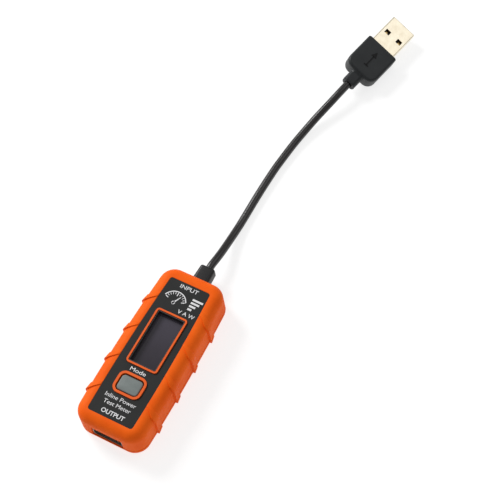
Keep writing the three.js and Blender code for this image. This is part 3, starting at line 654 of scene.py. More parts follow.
def quarter(radius: float, steps: int = 6) -> tuple[np.ndarray, np.ndarray]:
    """A quarter-round edge, from the side wall to the flat.

    Args:
        radius: its radius.
        steps: how many steps it has.

    Returns:
        How far each point lies below the flat, and how far inside the wall.
    """
    angle = np.linspace(0, math.pi / 2, steps + 1)
    return radius * (1 - np.sin(angle)), radius * (1 - np.cos(angle))


def placed(
    name: str,
    surface: Surface,
    finish: Finish,
    body: str,
    replaces: tuple[str, ...] = (),
    crease: float = 40.0,
    weld: bool = False,
) -> bpy.types.Object:
    """A finished piece, riding on its body.

    Args:
        name: the piece's name.
        surface: its points and faces.
        finish: what it is made of.
        body: the body that it moves with.
        replaces: the solids that it stands for.
        crease: the angle past which an edge stays sharp, in degrees.
        weld: whether points in the same place become one.

    Returns:
        The new object.
    """
    mesh = bpy.data.meshes.new(name)
    faces = [tuple(q) for q in surface.quads.tolist()] + [tuple(f) for f in surface.others]
    mesh.from_pydata((surface.points * MM).tolist(), [], faces)
    if weld:
        work = bmesh.new()
        work.from_mesh(mesh)
        bmesh.ops.remove_doubles(work, verts=work.verts, dist=2e-7)
        work.to_mesh(mesh)
        work.free()
    mesh.validate()
    mesh.polygons.foreach_set("use_smooth", np.ones(len(mesh.polygons), dtype=bool))
    mesh.set_sharp_from_angle(angle=math.radians(crease))
    mesh.materials.append(material(finish))
    piece = bpy.data.objects.new(name, mesh)
    bpy.context.scene.collection.objects.link(piece)
    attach(piece, body)
    if replaces:
        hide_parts(*replaces)
    log.info("%s: %d points, %d faces", name, len(mesh.vertices), len(mesh.polygons))
    return piece


# ----------------------------------------------------------------------------- housing


@dataclass
class Housing:
    """The housing's plan: bowed sides, straight ends and round corners, shared by both jackets."""

    half_length: float = 36.75
    half_width: float = 15.2
    widest: float = -13.0
    radius: float = 776.0
    corner: float = 6.5
    wall: float = 1.5
    corner_steps: int = 14
    input_stops: tuple[float, ...] = (0, 1.2, 2.4, 3.3, 3.9, 3.95, 4.02, 4.1, 4.6, 5.4, 6.4)
    output_stops: tuple[float, ...] = (0, 1.2, 2.4, 3.6, 4.8, 6.0, 6.9, 6.95, 7.02, 7.1, 7.7)

    @property
    def side_x(self) -> float:
        """Where the centre of the sides' long arc lies."""
        return self.half_width - self.radius

    def side_at(self, y: np.ndarray, inset: np.ndarray) -> np.ndarray:
        """Half width at a place along the side: the long arc, less an inset."""
        return self.side_x + np.sqrt((self.radius - inset) ** 2 - (y - self.widest) ** 2)

    def corner_at(self, y: float, radius: float, inset: float) -> tuple[float, float]:
        """A corner's centre in X, and the angle where it meets the side.

        Args:
            y: its centre in Y.
            radius: its radius.
            inset: how far its whole outline lies inside the housing's.

        Returns:
            The centre is as far inside the long arc as its radius; the angle is the arc's own.
        """
        reach = self.radius - inset - radius
        x = self.side_x + math.sqrt(reach**2 - (y - self.widest) ** 2)
        return x, math.atan2(y - self.widest, x - self.side_x)


@dataclass
class Rows:
    """Levels of a jacket's skin, from its parting edge on."""

    inset: np.ndarray
    height: np.ndarray
    blend: np.ndarray
    inner_inset: np.ndarray
    inner_height: np.ndarray
    station: np.ndarray
    lift: np.ndarray
    fill: np.ndarray


@dataclass
class JacketSkin:
    """Works out both faces of a jacket on one grid: rows of levels by columns round the plan."""

    plan: Housing
    side_inset: float = 5.0
    input_inset: float = 5.4
    output_inset: float = 4.6
    opening_corner: float = 1.1
    top_inset: float = 4.2
    rib_starts: tuple[float, ...] = (-24.7, -10.5, 3.7, 17.9)
    rib_width: float = 3.3
    rib_tip: float = 1.8
    rib_step: float = 0.85
    rib_rise: float = 0.3
    rib_sweep: float = 3.6

    def side_stops(self) -> np.ndarray:
        """Stops along a side: close together at each rib's edges, even between them."""
        low = -self.plan.half_length + self.plan.corner
        edges = np.array([-0.05, 0.03, 0.12, 0.8, 1.5, 2.2, 2.8, 3.18, 3.27, 3.36])
        ribs = [start + edges for start in self.rib_starts]
        gaps = []
        bounds = [low] + [v for r in ribs for v in (r[0], r[-1])] + [-low]
        for first, last in zip(bounds[::2], bounds[1::2]):
            count = max(2, round((last - first) / 0.9))
            gaps.append(np.linspace(first, last, count + 1)[:-1])
        stops = [part for gap, rib in zip(gaps, ribs) for part in (gap, rib[:-1])]
        return np.concatenate(stops + [gaps[-1], [-low]])

    def rib_place(self, stops: np.ndarray, station: np.ndarray, blend: np.ndarray) -> np.ndarray:
        """Y of each stop on each row.

        Args:
            stops: the stops along the side.
            station: each row's station: -1 at the label, 0 and 1 at the ends of the
                rounding, 2 at the foot.
            blend: how far each row is from the housing's own outline to the label's.

        Returns:
            stop + sweep + narrowing. The sweep grows towards the label and fades out near the
            side's ends; the narrowing grows across each rib and fades out before the next.
        """
        towards = np.clip(1 - station / 0.6, 0, 1)
        share = np.maximum(0, -station)
        sweep = self.rib_sweep * (0.85 * towards**1.3 + 0.15 * share)
        narrow = (self.rib_tip - self.rib_width) * towards
        first, last = self.rib_starts[0], self.rib_starts[-1] + self.rib_width
        end = self.plan.half_length - self.plan.corner
        moves = np.interp(stops, [-end, first - 1.5, last + 1.5, end], [0, 1, 1, 0])
        knots = [v for start in self.rib_starts for v in (start, start + self.rib_width)]
        grows = np.interp(stops, [-end] + knots + [end], [0] + [0, 1] * len(self.rib_starts) + [0])
        low = np.interp(stops, [-end, first - 1.5], [1, 0])
        drop = blend * (self.output_inset + self.opening_corner - self.plan.corner)
        return stops + sweep[:, None] * moves + narrow[:, None] * grows + drop[:, None] * low

    def rib_height(self, stops: np.ndarray, rows: Rows) -> np.ndarray:
        """How far the ribs stand proud.

        Args:
            stops: the stops along the side.
            rows: the levels.

        Returns:
            Within a rib, the step at its low edge falls in a straight line to the rise at its
            high edge; both fade towards the label, and a fill keeps the foot upright where the
            jacket itself curves in.
        """
        towards = np.clip(1 - rows.station / 0.6, 0, 1)
        share = np.maximum(0, -rows.station)
        step = self.rib_step * (1 - 0.6 * towards - 0.25 * share)
        rise = self.rib_rise * (1 - towards) + 0.02
        flat = np.zeros(len(stops))
        across = np.zeros(len(stops))
        for start in self.rib_starts:
            near = stops - start
            knots = [-0.04, 0.03, 0.12, 3.18, 3.27, 3.35]
            flat = np.maximum(flat, np.interp(near, knots, [0, 0.8, 1, 1, 0.7, 0]))
            across = np.where((near > -0.1) & (near < 3.4), np.clip(near / self.rib_width, 0, 1), across)
        height = step[:, None] * (1 - across) + rise[:, None] * across + rows.fill[:, None]
        return height * flat * rows.lift[:, None]

    def outline(
        self, inset: np.ndarray, station: np.ndarray, blend: np.ndarray
    ) -> tuple[np.ndarray, np.ndarray, np.ndarray]:
        """The plan of every row.

        Args:
            inset: how far each row lies inside the housing's outline.
            station: each row's station on the ribs.
            blend: 0 on the housing's own outline, 1 on the label's.

        Returns:
            Points, outward normals, and which columns belong to a side. The right half runs from
            the middle of the output end to the middle of the input end; the left half mirrors it.
        """
        plan = self.plan
        low, high = -plan.half_length + plan.corner, plan.half_length - plan.corner
        low_x, low_angle = plan.corner_at(low, plan.corner, 0)
        high_x, high_angle = plan.corner_at(high, plan.corner, 0)
        low_y2 = -plan.half_length + self.output_inset + self.opening_corner
        high_y2 = plan.half_length - self.input_inset - self.opening_corner
        low_x2, _ = plan.corner_at(low_y2, self.opening_corner, self.side_inset)
        high_x2, _ = plan.corner_at(high_y2, self.opening_corner, self.side_inset)
        inset = inset[:, None]
        blend = blend[:, None]
        round_at = (1 - blend) * (plan.corner - inset) + blend * self.opening_corner
        side_inset = inset + blend * (self.side_inset - self.top_inset)
        low_inset = inset + blend * (self.output_inset - self.top_inset)
        high_inset = inset + blend * (self.input_inset - self.top_inset)

        def arc(x0: float, y0: float, x1: float, y1: float, angles: np.ndarray) -> tuple:
            """Corner points between two centres, and their normals."""
            normal = on_circle(angles)
            centre = np.stack([(1 - blend) * x0 + blend * x1, (1 - blend) * y0 + blend * y1], axis=-1)
            return centre + round_at[..., None] * normal[None], normal

        stops = np.array(plan.output_stops)
        grow = (1 - blend) + blend * low_x2 / low_x
        x = stops[None] * grow
        end_low = np.stack([x, -plan.half_length + low_inset + 0 * x], axis=-1)
        normal_low = np.tile([0.0, -1.0], (len(stops), 1))
        angles = np.linspace(-math.pi / 2, low_angle, plan.corner_steps + 1)
        arc_low, normal_arc_low = arc(low_x, low, low_x2, low_y2, angles)
        side = self.side_stops()
        y = self.rib_place(side, station, blend[:, 0])
        x = plan.side_at(y, side_inset)
        side_points = np.stack([x, y], axis=-1)
        middle = len(station) // 2
        away = np.stack([x[middle] - plan.side_x, y[middle] - plan.widest], axis=-1)
        normal_side = away / np.linalg.norm(away, axis=1, keepdims=True)
        angles = np.linspace(high_angle, math.pi / 2, plan.corner_steps + 1)
        arc_high, normal_arc_high = arc(high_x, high, high_x2, high_y2, angles)
        stops = np.array(plan.input_stops)[::-1]
        grow = (1 - blend) + blend * high_x2 / high_x
        x = stops[None] * grow
        end_high = np.stack([x, plan.half_length - high_inset + 0 * x], axis=-1)
        normal_high = np.tile([0.0, 1.0], (len(stops), 1))
        points = np.concatenate([end_low, arc_low, side_points[:, 1:-1], arc_high, end_high], axis=1)
        normals = np.concatenate(
            [normal_low, normal_arc_low, normal_side[1:-1], normal_arc_high, normal_high]
        )
        kind = np.zeros(points.shape[1], dtype=bool)
        begin = len(plan.output_stops) + plan.corner_steps + 1
        kind[begin : begin + len(side) - 2] = True
        flip = np.array([-1.0, 1.0])
        points = np.concatenate([points, points[:, -2:0:-1] * flip], axis=1)
        normals = np.concatenate([normals, normals[-2:0:-1] * flip])
        return points, normals, np.concatenate([kind, kind[-2:0:-1]])

    def skins(self, rows: Rows) -> tuple[np.ndarray, np.ndarray]:
        """Outer and inner points of every row and column.

        Args:
            rows: the levels.

        Returns:
            The outer face, with the ribs pushed out along its normal, and the inner face.
        """
        plan_out, normal, sides = self.outline(rows.inset, rows.station, rows.blend)
        plan_in, _, _ = self.outline(rows.inner_inset, rows.station, rows.blend)
        outer, inner = lifted(plan_out, rows.height), lifted(plan_in, rows.inner_height)
        half = self.rib_height(self.side_stops()[1:-1], rows)
        proud = np.zeros(outer.shape[:2])
        run = np.flatnonzero(sides)
        proud[:, run[: half.shape[1]]] = half
        proud[:, run[half.shape[1] :]] = half[:, ::-1]
        tilt = np.clip(rows.station, 0, 1) * math.pi / 2
        up = np.where(rows.station < 0, 1.0, np.cos(tilt))
        out = np.where(rows.station < 0, 0.0, np.sin(tilt))
        push = lifted(out[:, None, None] * normal[None], up)
        return outer + push * proud[..., None], inner


def softened(
    outer: np.ndarray, half_width: float, height: float, low_end: bool, length: float, edge: float = 0.2
) -> np.ndarray:
    """Rounds the skin's edge round an opening in an end face.

    Args:
        outer: the skin's points.
        half_width: the opening's half width.
        height: its upper edge.
        low_end: whether it is in the output end.
        length: the housing's half length.
        edge: the radius of the edge.

    Returns:
        The points, moved in by edge - sqrt(edge² - (edge - d)²), where d is a point's distance
        from the opening, for points nearer than the edge's radius.
    """
    aside = np.maximum(np.abs(outer[..., 0]) - half_width, 0)
    above = np.maximum(outer[..., 2] - height, 0)
    away = np.minimum(np.hypot(aside, above), edge)
    sign = 1.0 if low_end else -1.0
    near = np.abs(outer[..., 1] + sign * length) < 0.3
    deep = edge - np.sqrt(edge**2 - (edge - away) ** 2)
    moved = outer.copy()
    moved[..., 1] += sign * np.where(near, deep, 0)
    return moved


def open_cells(
    outer: np.ndarray, half_width: float, low: float, high: float, low_end: bool, length: float
) -> np.ndarray:
    """Which cells lie in an opening in an end face.

    Args:
        outer: the skin's points.
        half_width: the opening's half width.
        low: its lower edge.
        high: its upper edge.
        low_end: whether it is in the output end.
        length: the housing's half length.

    Returns:
        True for each cell whose middle is within the opening's width and height.
    """
    right = np.roll(outer, -1, axis=1)
    middle = (outer[:-1] + right[:-1] + outer[1:] + right[1:]) / 4
    end = -length if low_end else length
    return (
        (np.abs(middle[..., 0]) < half_width)
        & (middle[..., 2] > low)
        & (middle[..., 2] < high)
        & (np.abs(middle[..., 1] - end) < 1.5)
    )


@dataclass
class FrontJacket:
    """The soft front jacket: ribbed flanks, round edges, and openings for label, socket and boot."""

    plan: Housing
    base: float = 3.35
    top: float = 15.0
    under: float = 13.7
    edge: float = 4.2
    wall: float = 1.5
    mouth_half: float = 6.9
    mouth_top: float = 8.8
    slot_half: float = 3.9
    slot_top: float = 9.85

    def rows(self) -> Rows:
        """Its levels: a small round at the parting, the flank, a quarter round, the flat and a lip."""
        turn = np.linspace(0, math.pi / 2, 5)
        start_inset = 0.2 * (1 - np.sin(turn))
        start_height = self.base + 0.2 * (1 - np.cos(turn))
        flank = np.array(
            [3.9, 4.6, 5.4, 6.2, 7.0, 7.8, 8.5, 8.8, 8.85, 8.92, 9.02, 9.4, 9.85, 9.9, 9.97, 10.07, 10.4]
        )
        curve = np.linspace(0, math.pi / 2, 22)
        break_height = self.top - self.edge
        round_inset = self.edge * (1 - np.cos(curve))
        round_height = break_height + self.edge * np.sin(curve)
        flat = np.array([0.15, 0.3, 0.45, 0.6, 0.72])
        lip = np.linspace(0, math.pi / 2, 5)[1:]
        lip_blend = 0.72 + 0.28 * np.sin(lip)
        lip_height = self.top - 0.18 * (1 - np.cos(lip))
        count = (len(turn), len(flank), len(curve), len(flat), len(lip))
        above = np.full(count[3] + count[4], self.edge)
        inset = np.concatenate([start_inset, np.zeros(count[1]), round_inset, above])
        height = np.concatenate([start_height, flank, round_height, np.full(count[3], self.top), lip_height])
        blend = np.concatenate([np.zeros(sum(count[:3])), flat, lip_blend])
        inner_inset = np.concatenate(
            [
                np.full(count[0] + count[1], self.wall),
                self.edge - (self.edge - self.wall) * np.cos(curve),
                above,
            ]
        )
        inner_height = np.concatenate(
            [
                start_height,
                flank,
                break_height + (self.under - break_height) * np.sin(curve),
                np.full(count[3] + count[4], self.under),
            ]
        )
        station = np.concatenate(
            [
                np.full(count[0], 2.0),
                1 + (break_height - flank) / (break_height - self.base),
                1 - curve / (math.pi / 2),
                -blend[sum(count[:3]) :],
            ]
        )
        lift = np.ones(len(height))
        lift[-len(lip) :] = np.linspace(0.8, 0.2, len(lip))
        return Rows(inset, height, blend, inner_inset, inner_height, station, lift, np.zeros(len(height)))

    def build(self) -> bpy.types.Object:
        """Builds and dresses it."""
        length = self.plan.half_length
        outer, inner = JacketSkin(self.plan).skins(self.rows())
        keep = ~open_cells(outer, self.mouth_half, 0, self.mouth_top, True, length)
        keep &= ~open_cells(outer, self.slot_half, 0, self.slot_top, False, length)
        outer = softened(outer, self.mouth_half, self.mouth_top, True, length)
        outer = softened(outer, self.slot_half, self.slot_top, False, length)
        skin = walled(outer, inner, keep).outward()
        return placed(
            "front_jacket", skin, Finish.JACKET, HOUSING, ("front_overmould",), crease=50
        )


@dataclass
class RearJacket:
    """The soft rear jacket: a shallow tray with round edges, the mouth's sill and four screw holes."""

    plan: Housing
    top: float = 3.05
    edge: float = 2.0
    wall: float = 1.5
    floor: float = 1.4
    mouth_half: float = 6.9
    mouth_low: float = 2.4
    hole: float = 2.3
    hole_edge: float = 0.2
    hole_steps: int = 36
    rib_foot: float = 1.1
    rim: float = 2.3
    parting_edge: float = 0.2
    side_inset: float = 5.35
    end_inset: float = 8.75

    def rows(self) -> Rows:
        """Its levels: a ring of the flat, a quarter round, the flank and a small round at the parting."""
        foot_levels = self.rib_foot + np.array([-0.02, 0.04, 0.14])
        foot = np.arcsin(1 - foot_levels / self.edge)
        curve = np.sort(np.concatenate([np.linspace(0, math.pi / 2, 12), foot]))[::-1]
        turn = np.linspace(0, math.pi / 2, 5)
        flank = np.array([2.2, 2.34, 2.4, 2.46, 2.6, 2.75])
        small, count = self.parting_edge, 1 + len(curve) + len(flank) + len(turn)
        inset = np.concatenate(
            [
                [self.rim],
                self.edge * (1 - np.cos(curve)),
                np.zeros(len(flank)),
                small * (1 - np.cos(turn)),
            ]
        )
        height = np.concatenate(
            [[0.0], self.edge * (1 - np.sin(curve)), flank, self.top - small * (1 - np.sin(turn))]
        )
        walls = np.full(len(flank) + len(turn), self.wall)
        rounds = self.edge - (self.edge - self.wall) * np.cos(curve)
        inner_inset = np.concatenate([[self.rim], rounds, walls])
        rounds = self.edge - (self.edge - self.floor) * np.sin(curve)
        inner_height = np.concatenate([[self.floor], rounds, flank, height[-len(turn) :]])
        lift = np.interp(height, foot_levels, [0, 0.85, 1])
        fill = np.where(height < self.edge, inset, 0)
        flat, station = np.zeros(count), np.full(count, 2.0)
        return Rows(inset, height, flat, inner_inset, inner_height, station, lift, fill)

    def holes(self) -> np.ndarray:
        """Centres of the four screw holes."""
        y = self.plan.half_length - self.end_inset
        low = self.plan.side_at(np.array(-y), np.array(0.0)) - self.side_inset
        high = self.plan.side_at(np.array(y), np.array(0.0)) - self.side_inset
        return np.array([[low, -y], [-low, -y], [high, y], [-high, y]])

    def circle(self) -> np.ndarray:
        """The points of a hole of radius 1."""
        return on_circle(np.linspace(0, 2 * math.pi, self.hole_steps, endpoint=False))

    def plate(self, ring: np.ndarray, radius: float, height: float) -> Surface:
        """A flat face inside a ring, with four round holes.

        Args:
            ring: the ring's points in X and Y.
            radius: the holes' radius.
            height: the height of the face.

        Returns:
            Triangles between the ring and the circles, less those whose middle is in a hole.
        """
        loops = [ring] + [centre + radius * self.circle() for centre in self.holes()]
        points = np.concatenate(loops)
        starts = np.cumsum([0] + [len(loop) for loop in loops])
        ids = [np.arange(a, b) for a, b in zip(starts[:-1], starts[1:])]
        edges = np.concatenate([np.column_stack([loop, np.roll(loop, -1)]) for loop in ids]).tolist()
        verts, _, faces, *_ = delaunay_2d_cdt([Vector(p) for p in points.tolist()], edges, [], 1, 1e-9)
        flat = np.array([[v.x, v.y] for v in verts])
        tris = np.array([f for f in faces if len(f) == 3])
        middle = flat[tris].mean(axis=1)
        inside = (np.linalg.norm(middle[:, None] - self.holes()[None], axis=2) < radius * 0.98).any(axis=1)
        tris = tris[~inside]
        return Surface(lifted(flat, height), NO_QUADS, [tuple(t) for t in tris.tolist()])

    def build(self) -> bpy.types.Object:
        """Builds and dresses it."""
        length = self.plan.half_length
        outer, inner = JacketSkin(self.plan).skins(self.rows())
        keep = ~open_cells(outer, self.mouth_half, self.mouth_low, 9, True, length)
        shell = walled(outer, inner, keep, foot=False)
        under = self.plate(outer[0, :, :2], self.hole + self.hole_edge, 0.0)
        floor = self.plate(inner[0, :, :2], self.hole, self.floor)
        under.others = [face[::-1] for face in under.others]
        parts = [shell, under, floor]
        turn = np.linspace(0, math.pi / 2, 5)
        radii = np.concatenate([self.hole + self.hole_edge * (1 - np.sin(turn)), [self.hole]])
        levels = np.concatenate([self.hole_edge * (1 - np.cos(turn)), [self.floor]])
        for centre in self.holes():
            tube = lofted(lifted(centre + radii[:, None, None] * self.circle(), levels), capped=False)
            tube.quads = tube.quads if self._faces_in(tube, centre) else tube.quads[:, ::-1]
            parts.append(tube)
        return placed(
            "rear_jacket",
            joined(parts).outward(),
            Finish.JACKET,
            HOUSING,
            ("rear_overmould",),
            crease=50,
            weld=True,
        )

    @staticmethod
    def _faces_in(tube: Surface, centre: np.ndarray) -> bool:
        """Whether a hole's wall points towards the hole's middle.

        Args:
            tube: the wall.
            centre: the hole's middle in X and Y.

        Returns:
            True if the faces' normals point in, taken together.
        """
        a, b, c = (tube.points[tube.quads[:, i]] for i in range(3))
        normal = np.cross(b - a, c - a)
        towards = np.append(centre, 0.0) - a
        return float(np.einsum("ij,ij->", normal[:, :2], towards[:, :2])) > 0


# ------------------------------------------------------------------- key, boot and lead


@dataclass
class ModeKey:
    """The grey key: a hollow cap with round edges and a slight crown, its flange and its nib."""

    y: float = -16.6
    width: float = 9.4
    length: float = 6.7
    corner: float = 1.5
    edge: float = 0.5
    crown: float = 0.12
    flange: float = 1.1
    flange_thickness: float = 0.6
    wall: float = 1.0
    roof: float = 1.4
    nib: float = 1.1
    nib_gap: float = 0.1

    def _under(self, low: float, high: float, plunger: float) -> list[np.ndarray]:
        """The underside, from the nib's tip to the flange's edge.

        Args:
            low: the height of the flange's underside.
            high: the height of the key's top.
            plunger: the height of the switch's plunger.

        Returns:
            Rings: the nib's circle goes up to the roof; the outline moved in by the wall comes
            down from there; the outline moved out by the flange ends it.
        """
        points, normals = rounded_rectangle(self.width, self.length, self.corner)
        circle = self.nib * points / np.linalg.norm(points, axis=1)[:, None]
        tip, roof = plunger + self.nib_gap, high - self.roof
        shoulder = low + self.flange_thickness
        levels = [(circle * 0.85, tip), (circle, tip + 0.15), (circle, roof - 0.15), (circle * 1.15, roof)]
        levels += [(points - self.wall * normals, height) for height in (roof, low)]
        reach = ((-0.1, low), (0.0, low + 0.1), (0.0, shoulder - 0.1), (-0.1, shoulder))
        levels += [(points + (self.flange + grow) * normals, height) for grow, height in reach]
        levels += [(points + 0.1 * normals, shoulder), (points, shoulder + 0.1)]
        return [lifted(plan, height) for plan, height in levels]

    def _top(self, high: float) -> list[np.ndarray]:
        """The round edge and the crown.

        Args:
            high: the height of the key's top.

        Returns:
            Rings: the outline moved in by the edge's inset, then shrunk towards the middle, where
            its height is the top less crown x (share of the way out, squared).
        """
        points, normals = rounded_rectangle(self.width, self.length, self.corner)
        edge = [
            lifted(points - inset * normals, high - self.crown - fall)
            for fall, inset in zip(*quarter(self.edge))
        ]
        face = points - self.edge * normals
        dome = [
            lifted(share * face, high - self.crown * share**2) for share in np.linspace(0.9, 0.1, 8)
        ]
        return edge + dome

    def build(self) -> bpy.types.Object:
        """Builds and dresses it, between the heights of the solid that it stands for."""
        low, high = (float(corner[2]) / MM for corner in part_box("mode_button"))
        plunger = float(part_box("mode_switch_plunger")[1][2]) / MM
        skin = lofted(np.array(self._under(low, high, plunger) + self._top(high)))
        skin = skin.moved(np.eye(3), np.array([0.0, self.y, 0.0]))
        return placed("mode_key_cap", skin, Finish.KEY, KEY, ("mode_button",), crease=50)


@dataclass
class LeadBoot:
    """The moulded boot where the lead enters: a block with round long edges, a collar and a soft end."""

    side: float = 7.2
    height: float = 6.2
    corner: float = 1.6
    centre_z: float = 6.45
    start: float = 35.35
    end: float = 44.15
    end_edge: float = 0.8
    taper: float = 0.3

    def build(self) -> bpy.types.Object:
        """Builds and dresses it; it narrows a little towards its end, and turns in round the cable."""
        points, normals = rounded_rectangle(self.side, self.height, self.corner)
        fall, inset = quarter(self.end_edge, 6)
        along = np.concatenate(
            [[self.start], np.linspace(self.start + 0.8, self.end - self.end_edge - 0.1, 8), self.end - fall]
        )
        tuck = np.concatenate([[0.0], np.linspace(0, self.taper, 8), self.taper + inset])
        rings = lifted(points - tuck[:, None, None] * normals, along)
        mouth = throat(points, (2.1, 1.9, 1.72, 1.72), self.end - THROAT_DEPTHS)
        rings = np.concatenate([rings, mouth])[:, :, [0, 2, 1]]
        skin = lofted(rings).moved(np.eye(3), np.array([0.0, 0.0, self.centre_z]))
        return placed("lead_boot", skin, Finish.BOOT, HOUSING, ("cable_boot",), crease=45)


@dataclass
class PlugFrame:
    """Where the plug lies: its front face's middle, and its own three axes."""

    origin: tuple[float, float, float] = (14.78, 168.625, 6.1)
    yaw: float = -12.9
    roll: float = 21.0

    def axes(self) -> np.ndarray:
        """Columns: its right side, the way it points, and up out of its top face."""
        yaw, roll = math.radians(self.yaw), math.radians(self.roll)
        ahead = np.array([-math.sin(yaw), math.cos(yaw), 0.0])
        level = np.array([math.cos(yaw), math.sin(yaw), 0.0])
        up = np.array([0.0, 0.0, 1.0])
        right = math.cos(roll) * level - math.sin(roll) * up
        return np.column_stack([right, ahead, math.sin(roll) * level + math.cos(roll) * up])

    def put(self, surface: Surface) -> Surface:
        """A surface drawn in the plug's own frame, in its place."""
        return surface.moved(self.axes(), np.array(self.origin))


@dataclass
class PlugMoulding:
    """The plug's grip: a flat block with big round rear corners, a neck and a raised arrow."""

    frame: PlugFrame
    width: float = 15.4
    length: float = 16.4
    thickness: float = 7.8
    edge: float = 1.2
    rear_corner: float = 3.8
    neck_width: float = 6.1
    neck_height: float = 5.6
    neck_corner: float = 1.9
    neck_end: float = -22.0
    neck_edge: float = 0.6

    def grip(self) -> Surface:
        """Outlines stacked along Z, each moved in by the quarter-round edge's inset.

        Returns:
            The rear corners shrink with the inset, the front corners keep a small radius, and the
            front edge draws back a little, so the front stays flat.
        """
        fall, inset = quarter(self.edge, 9)
        half = self.thickness / 2
        heights = np.concatenate([-half + fall[::-1], half - fall])
        insets = np.concatenate([inset[::-1], inset])
        turn = np.linspace(0, math.pi / 2, 13)
        rings = []
        for z, e in zip(heights, insets):
            side = self.width / 2 - e
            back = -self.length + e
            front = -0.22 * (e / self.edge) ** 2
            small, large = 0.45, self.rear_corner - e
            corners = []
            for start, sx, cy, radius in (
                (-math.pi / 2, 1, back + large, large),
                (0.0, 1, front - small, small),
                (math.pi / 2, -1, front - small, small),
                (math.pi, -1, back + large, large),
            ):
                corners.append(radius * on_circle(start + turn) + [sx * (side - radius), cy])
            rings.append(lifted(np.concatenate(corners), z))
        return lofted(np.stack(rings))

    def neck(self) -> Surface:
        """A round-cornered sleeve along the lead, flared where it leaves the grip, with a soft end."""
        points, normals = rounded_rectangle(self.neck_width, self.neck_height, self.neck_corner)
        fall, inset = quarter(self.neck_edge, 6)
        flare = np.linspace(0, 1, 9)
        along = np.concatenate([[-self.length + 1.5], -self.length + 0.2 - 1.3 * flare, self.neck_end + fall])
        tuck = np.concatenate([[-0.55], -0.55 * (1 - np.sin(flare * math.pi / 2)), inset])
        rings = lifted(points - tuck[:, None, None] * normals, along)
        mouth = throat(points, (2.0, 1.85, 1.7, 1.7), self.neck_end + THROAT_DEPTHS)
        return lofted(np.concatenate([rings, mouth])[:, :, [0, 2, 1]])

    def build(self) -> bpy.types.Object:
        """Builds and dresses the grip and its neck as one piece."""
        skin = self.frame.put(joined([self.grip(), self.neck()]))
        return placed(
            "plug_grip", skin, Finish.PLUG, HOUSING, ("plug_moulding",), crease=50
        )

    def arrow(self) -> bpy.types.Object:
        """A raised arrow on the top face that points the way the plug goes in."""
        top = self.thickness / 2
        shaft = bar(np.array([0.0, -11.6]), np.array([0.0, -6.4]), 0.6, 0.6)
        head = bar(np.array([0.0, -6.6]), np.array([0.0, -4.0]), 2.6, 0.2)
        tail = bar(np.array([-1.1, -11.6]), np.array([1.1, -11.6]), 0.6, 0.6)
        plates = joined([slab(shape, top - 0.1, top + 0.12) for shape in (shaft, head, tail)])
        skin = self.frame.put(plates)
        # painted shade: the arrow's darker finish stands in for the shade its relief catches
        return placed("plug_arrow", skin, Finish.PLUG_MARK_PAINTED_SHADE, HOUSING, crease=30)


@dataclass
class PlugShell:
    """The plug's metal shell: a folded sheet tube with two latch windows on each face."""

    frame: PlugFrame
    width: float = 12.0
    height: float = 4.5
    sheet: float = 0.3
    corner: float = 0.6
    root: float = -5.0
    reach: float = 14.6
    window_width: float = 2.5
    window_length: float = 2.0
    window_spacing: float = 6.4
    window_from_tip: float = 7.4

    def section(self, inset: float) -> np.ndarray:
        """The tube's section, with stops at the windows' edges.

        Args:
            inset: how far inside the outer face it lies.

        Returns:
            Points in X and Z: flats with the same stops on both faces, joined by quarter circles.
        """
        half_w, half_h = self.width / 2 - inset, self.height / 2 - inset
        radius = max(self.corner - inset, 0.15)
        mid, reach = self.window_spacing / 2, self.window_width / 2
        stops = np.array([0.9, mid - reach, mid - reach / 2, mid, mid + reach / 2, mid + reach, 4.9])
        stops = np.concatenate([-stops[::-1], [0.0], stops])
        turn = np.linspace(0, math.pi / 2, 6)
        low = np.column_stack([stops, np.full(len(stops), -half_h)])
        high = np.column_stack([stops[::-1], np.full(len(stops), half_h)])
        parts = []
        for face, corners in ((low, RIGHT_CORNERS), (high, LEFT_CORNERS)):
            parts.append(face)
            for start, sx, sz in corners:
                centre = np.array([sx * (half_w - radius), sz * (half_h - radius)])
                parts.append(centre + radius * on_circle(start + turn))
        return np.concatenate(parts)

    def build(self) -> bpy.types.Object:
        """Builds and dresses it: both faces on one grid, with the windows' cells left out."""
        middle = self.reach - self.window_from_tip
        half = self.window_length / 2
        along = np.array(
            [self.root, -2.5, 0.0, 1.5, 3.2, 4.8, middle - half, middle, middle + half, 9.4, 10.8, 12.4]
            + [self.reach - back for back in (0.5, 0.2, 0.07, 0.0)]
        )
        tuck = np.zeros(len(along))
        tuck[-4:] = [0.0, 0.02, 0.06, 0.12]
        outer = np.stack([self._ring(t, y) for t, y in zip(tuck, along)])
        inner = np.stack([self._ring(self.sheet, y) for y in along])
        right = np.roll(outer, -1, axis=1)
        centre = (outer[:-1] + right[:-1] + outer[1:] + right[1:]) / 4
        aside = np.abs(np.abs(centre[..., 0]) - self.window_spacing / 2) < self.window_width / 2
        flat = np.abs(np.abs(centre[..., 2]) - self.height / 2) < 0.05
        keep = ~(aside & flat & (np.abs(centre[..., 1] - middle) < half))
        skin = self.frame.put(walled(outer, inner, keep).outward())
        return placed(
            "plug_sleeve", skin, Finish.PLUG_METAL, HOUSING, ("plug_shell",), crease=35
        )

    def _ring(self, inset: float, y: float) -> np.ndarray:
        """The section at a place along the tube."""
        return lifted(self.section(inset), y)[:, [0, 2, 1]]


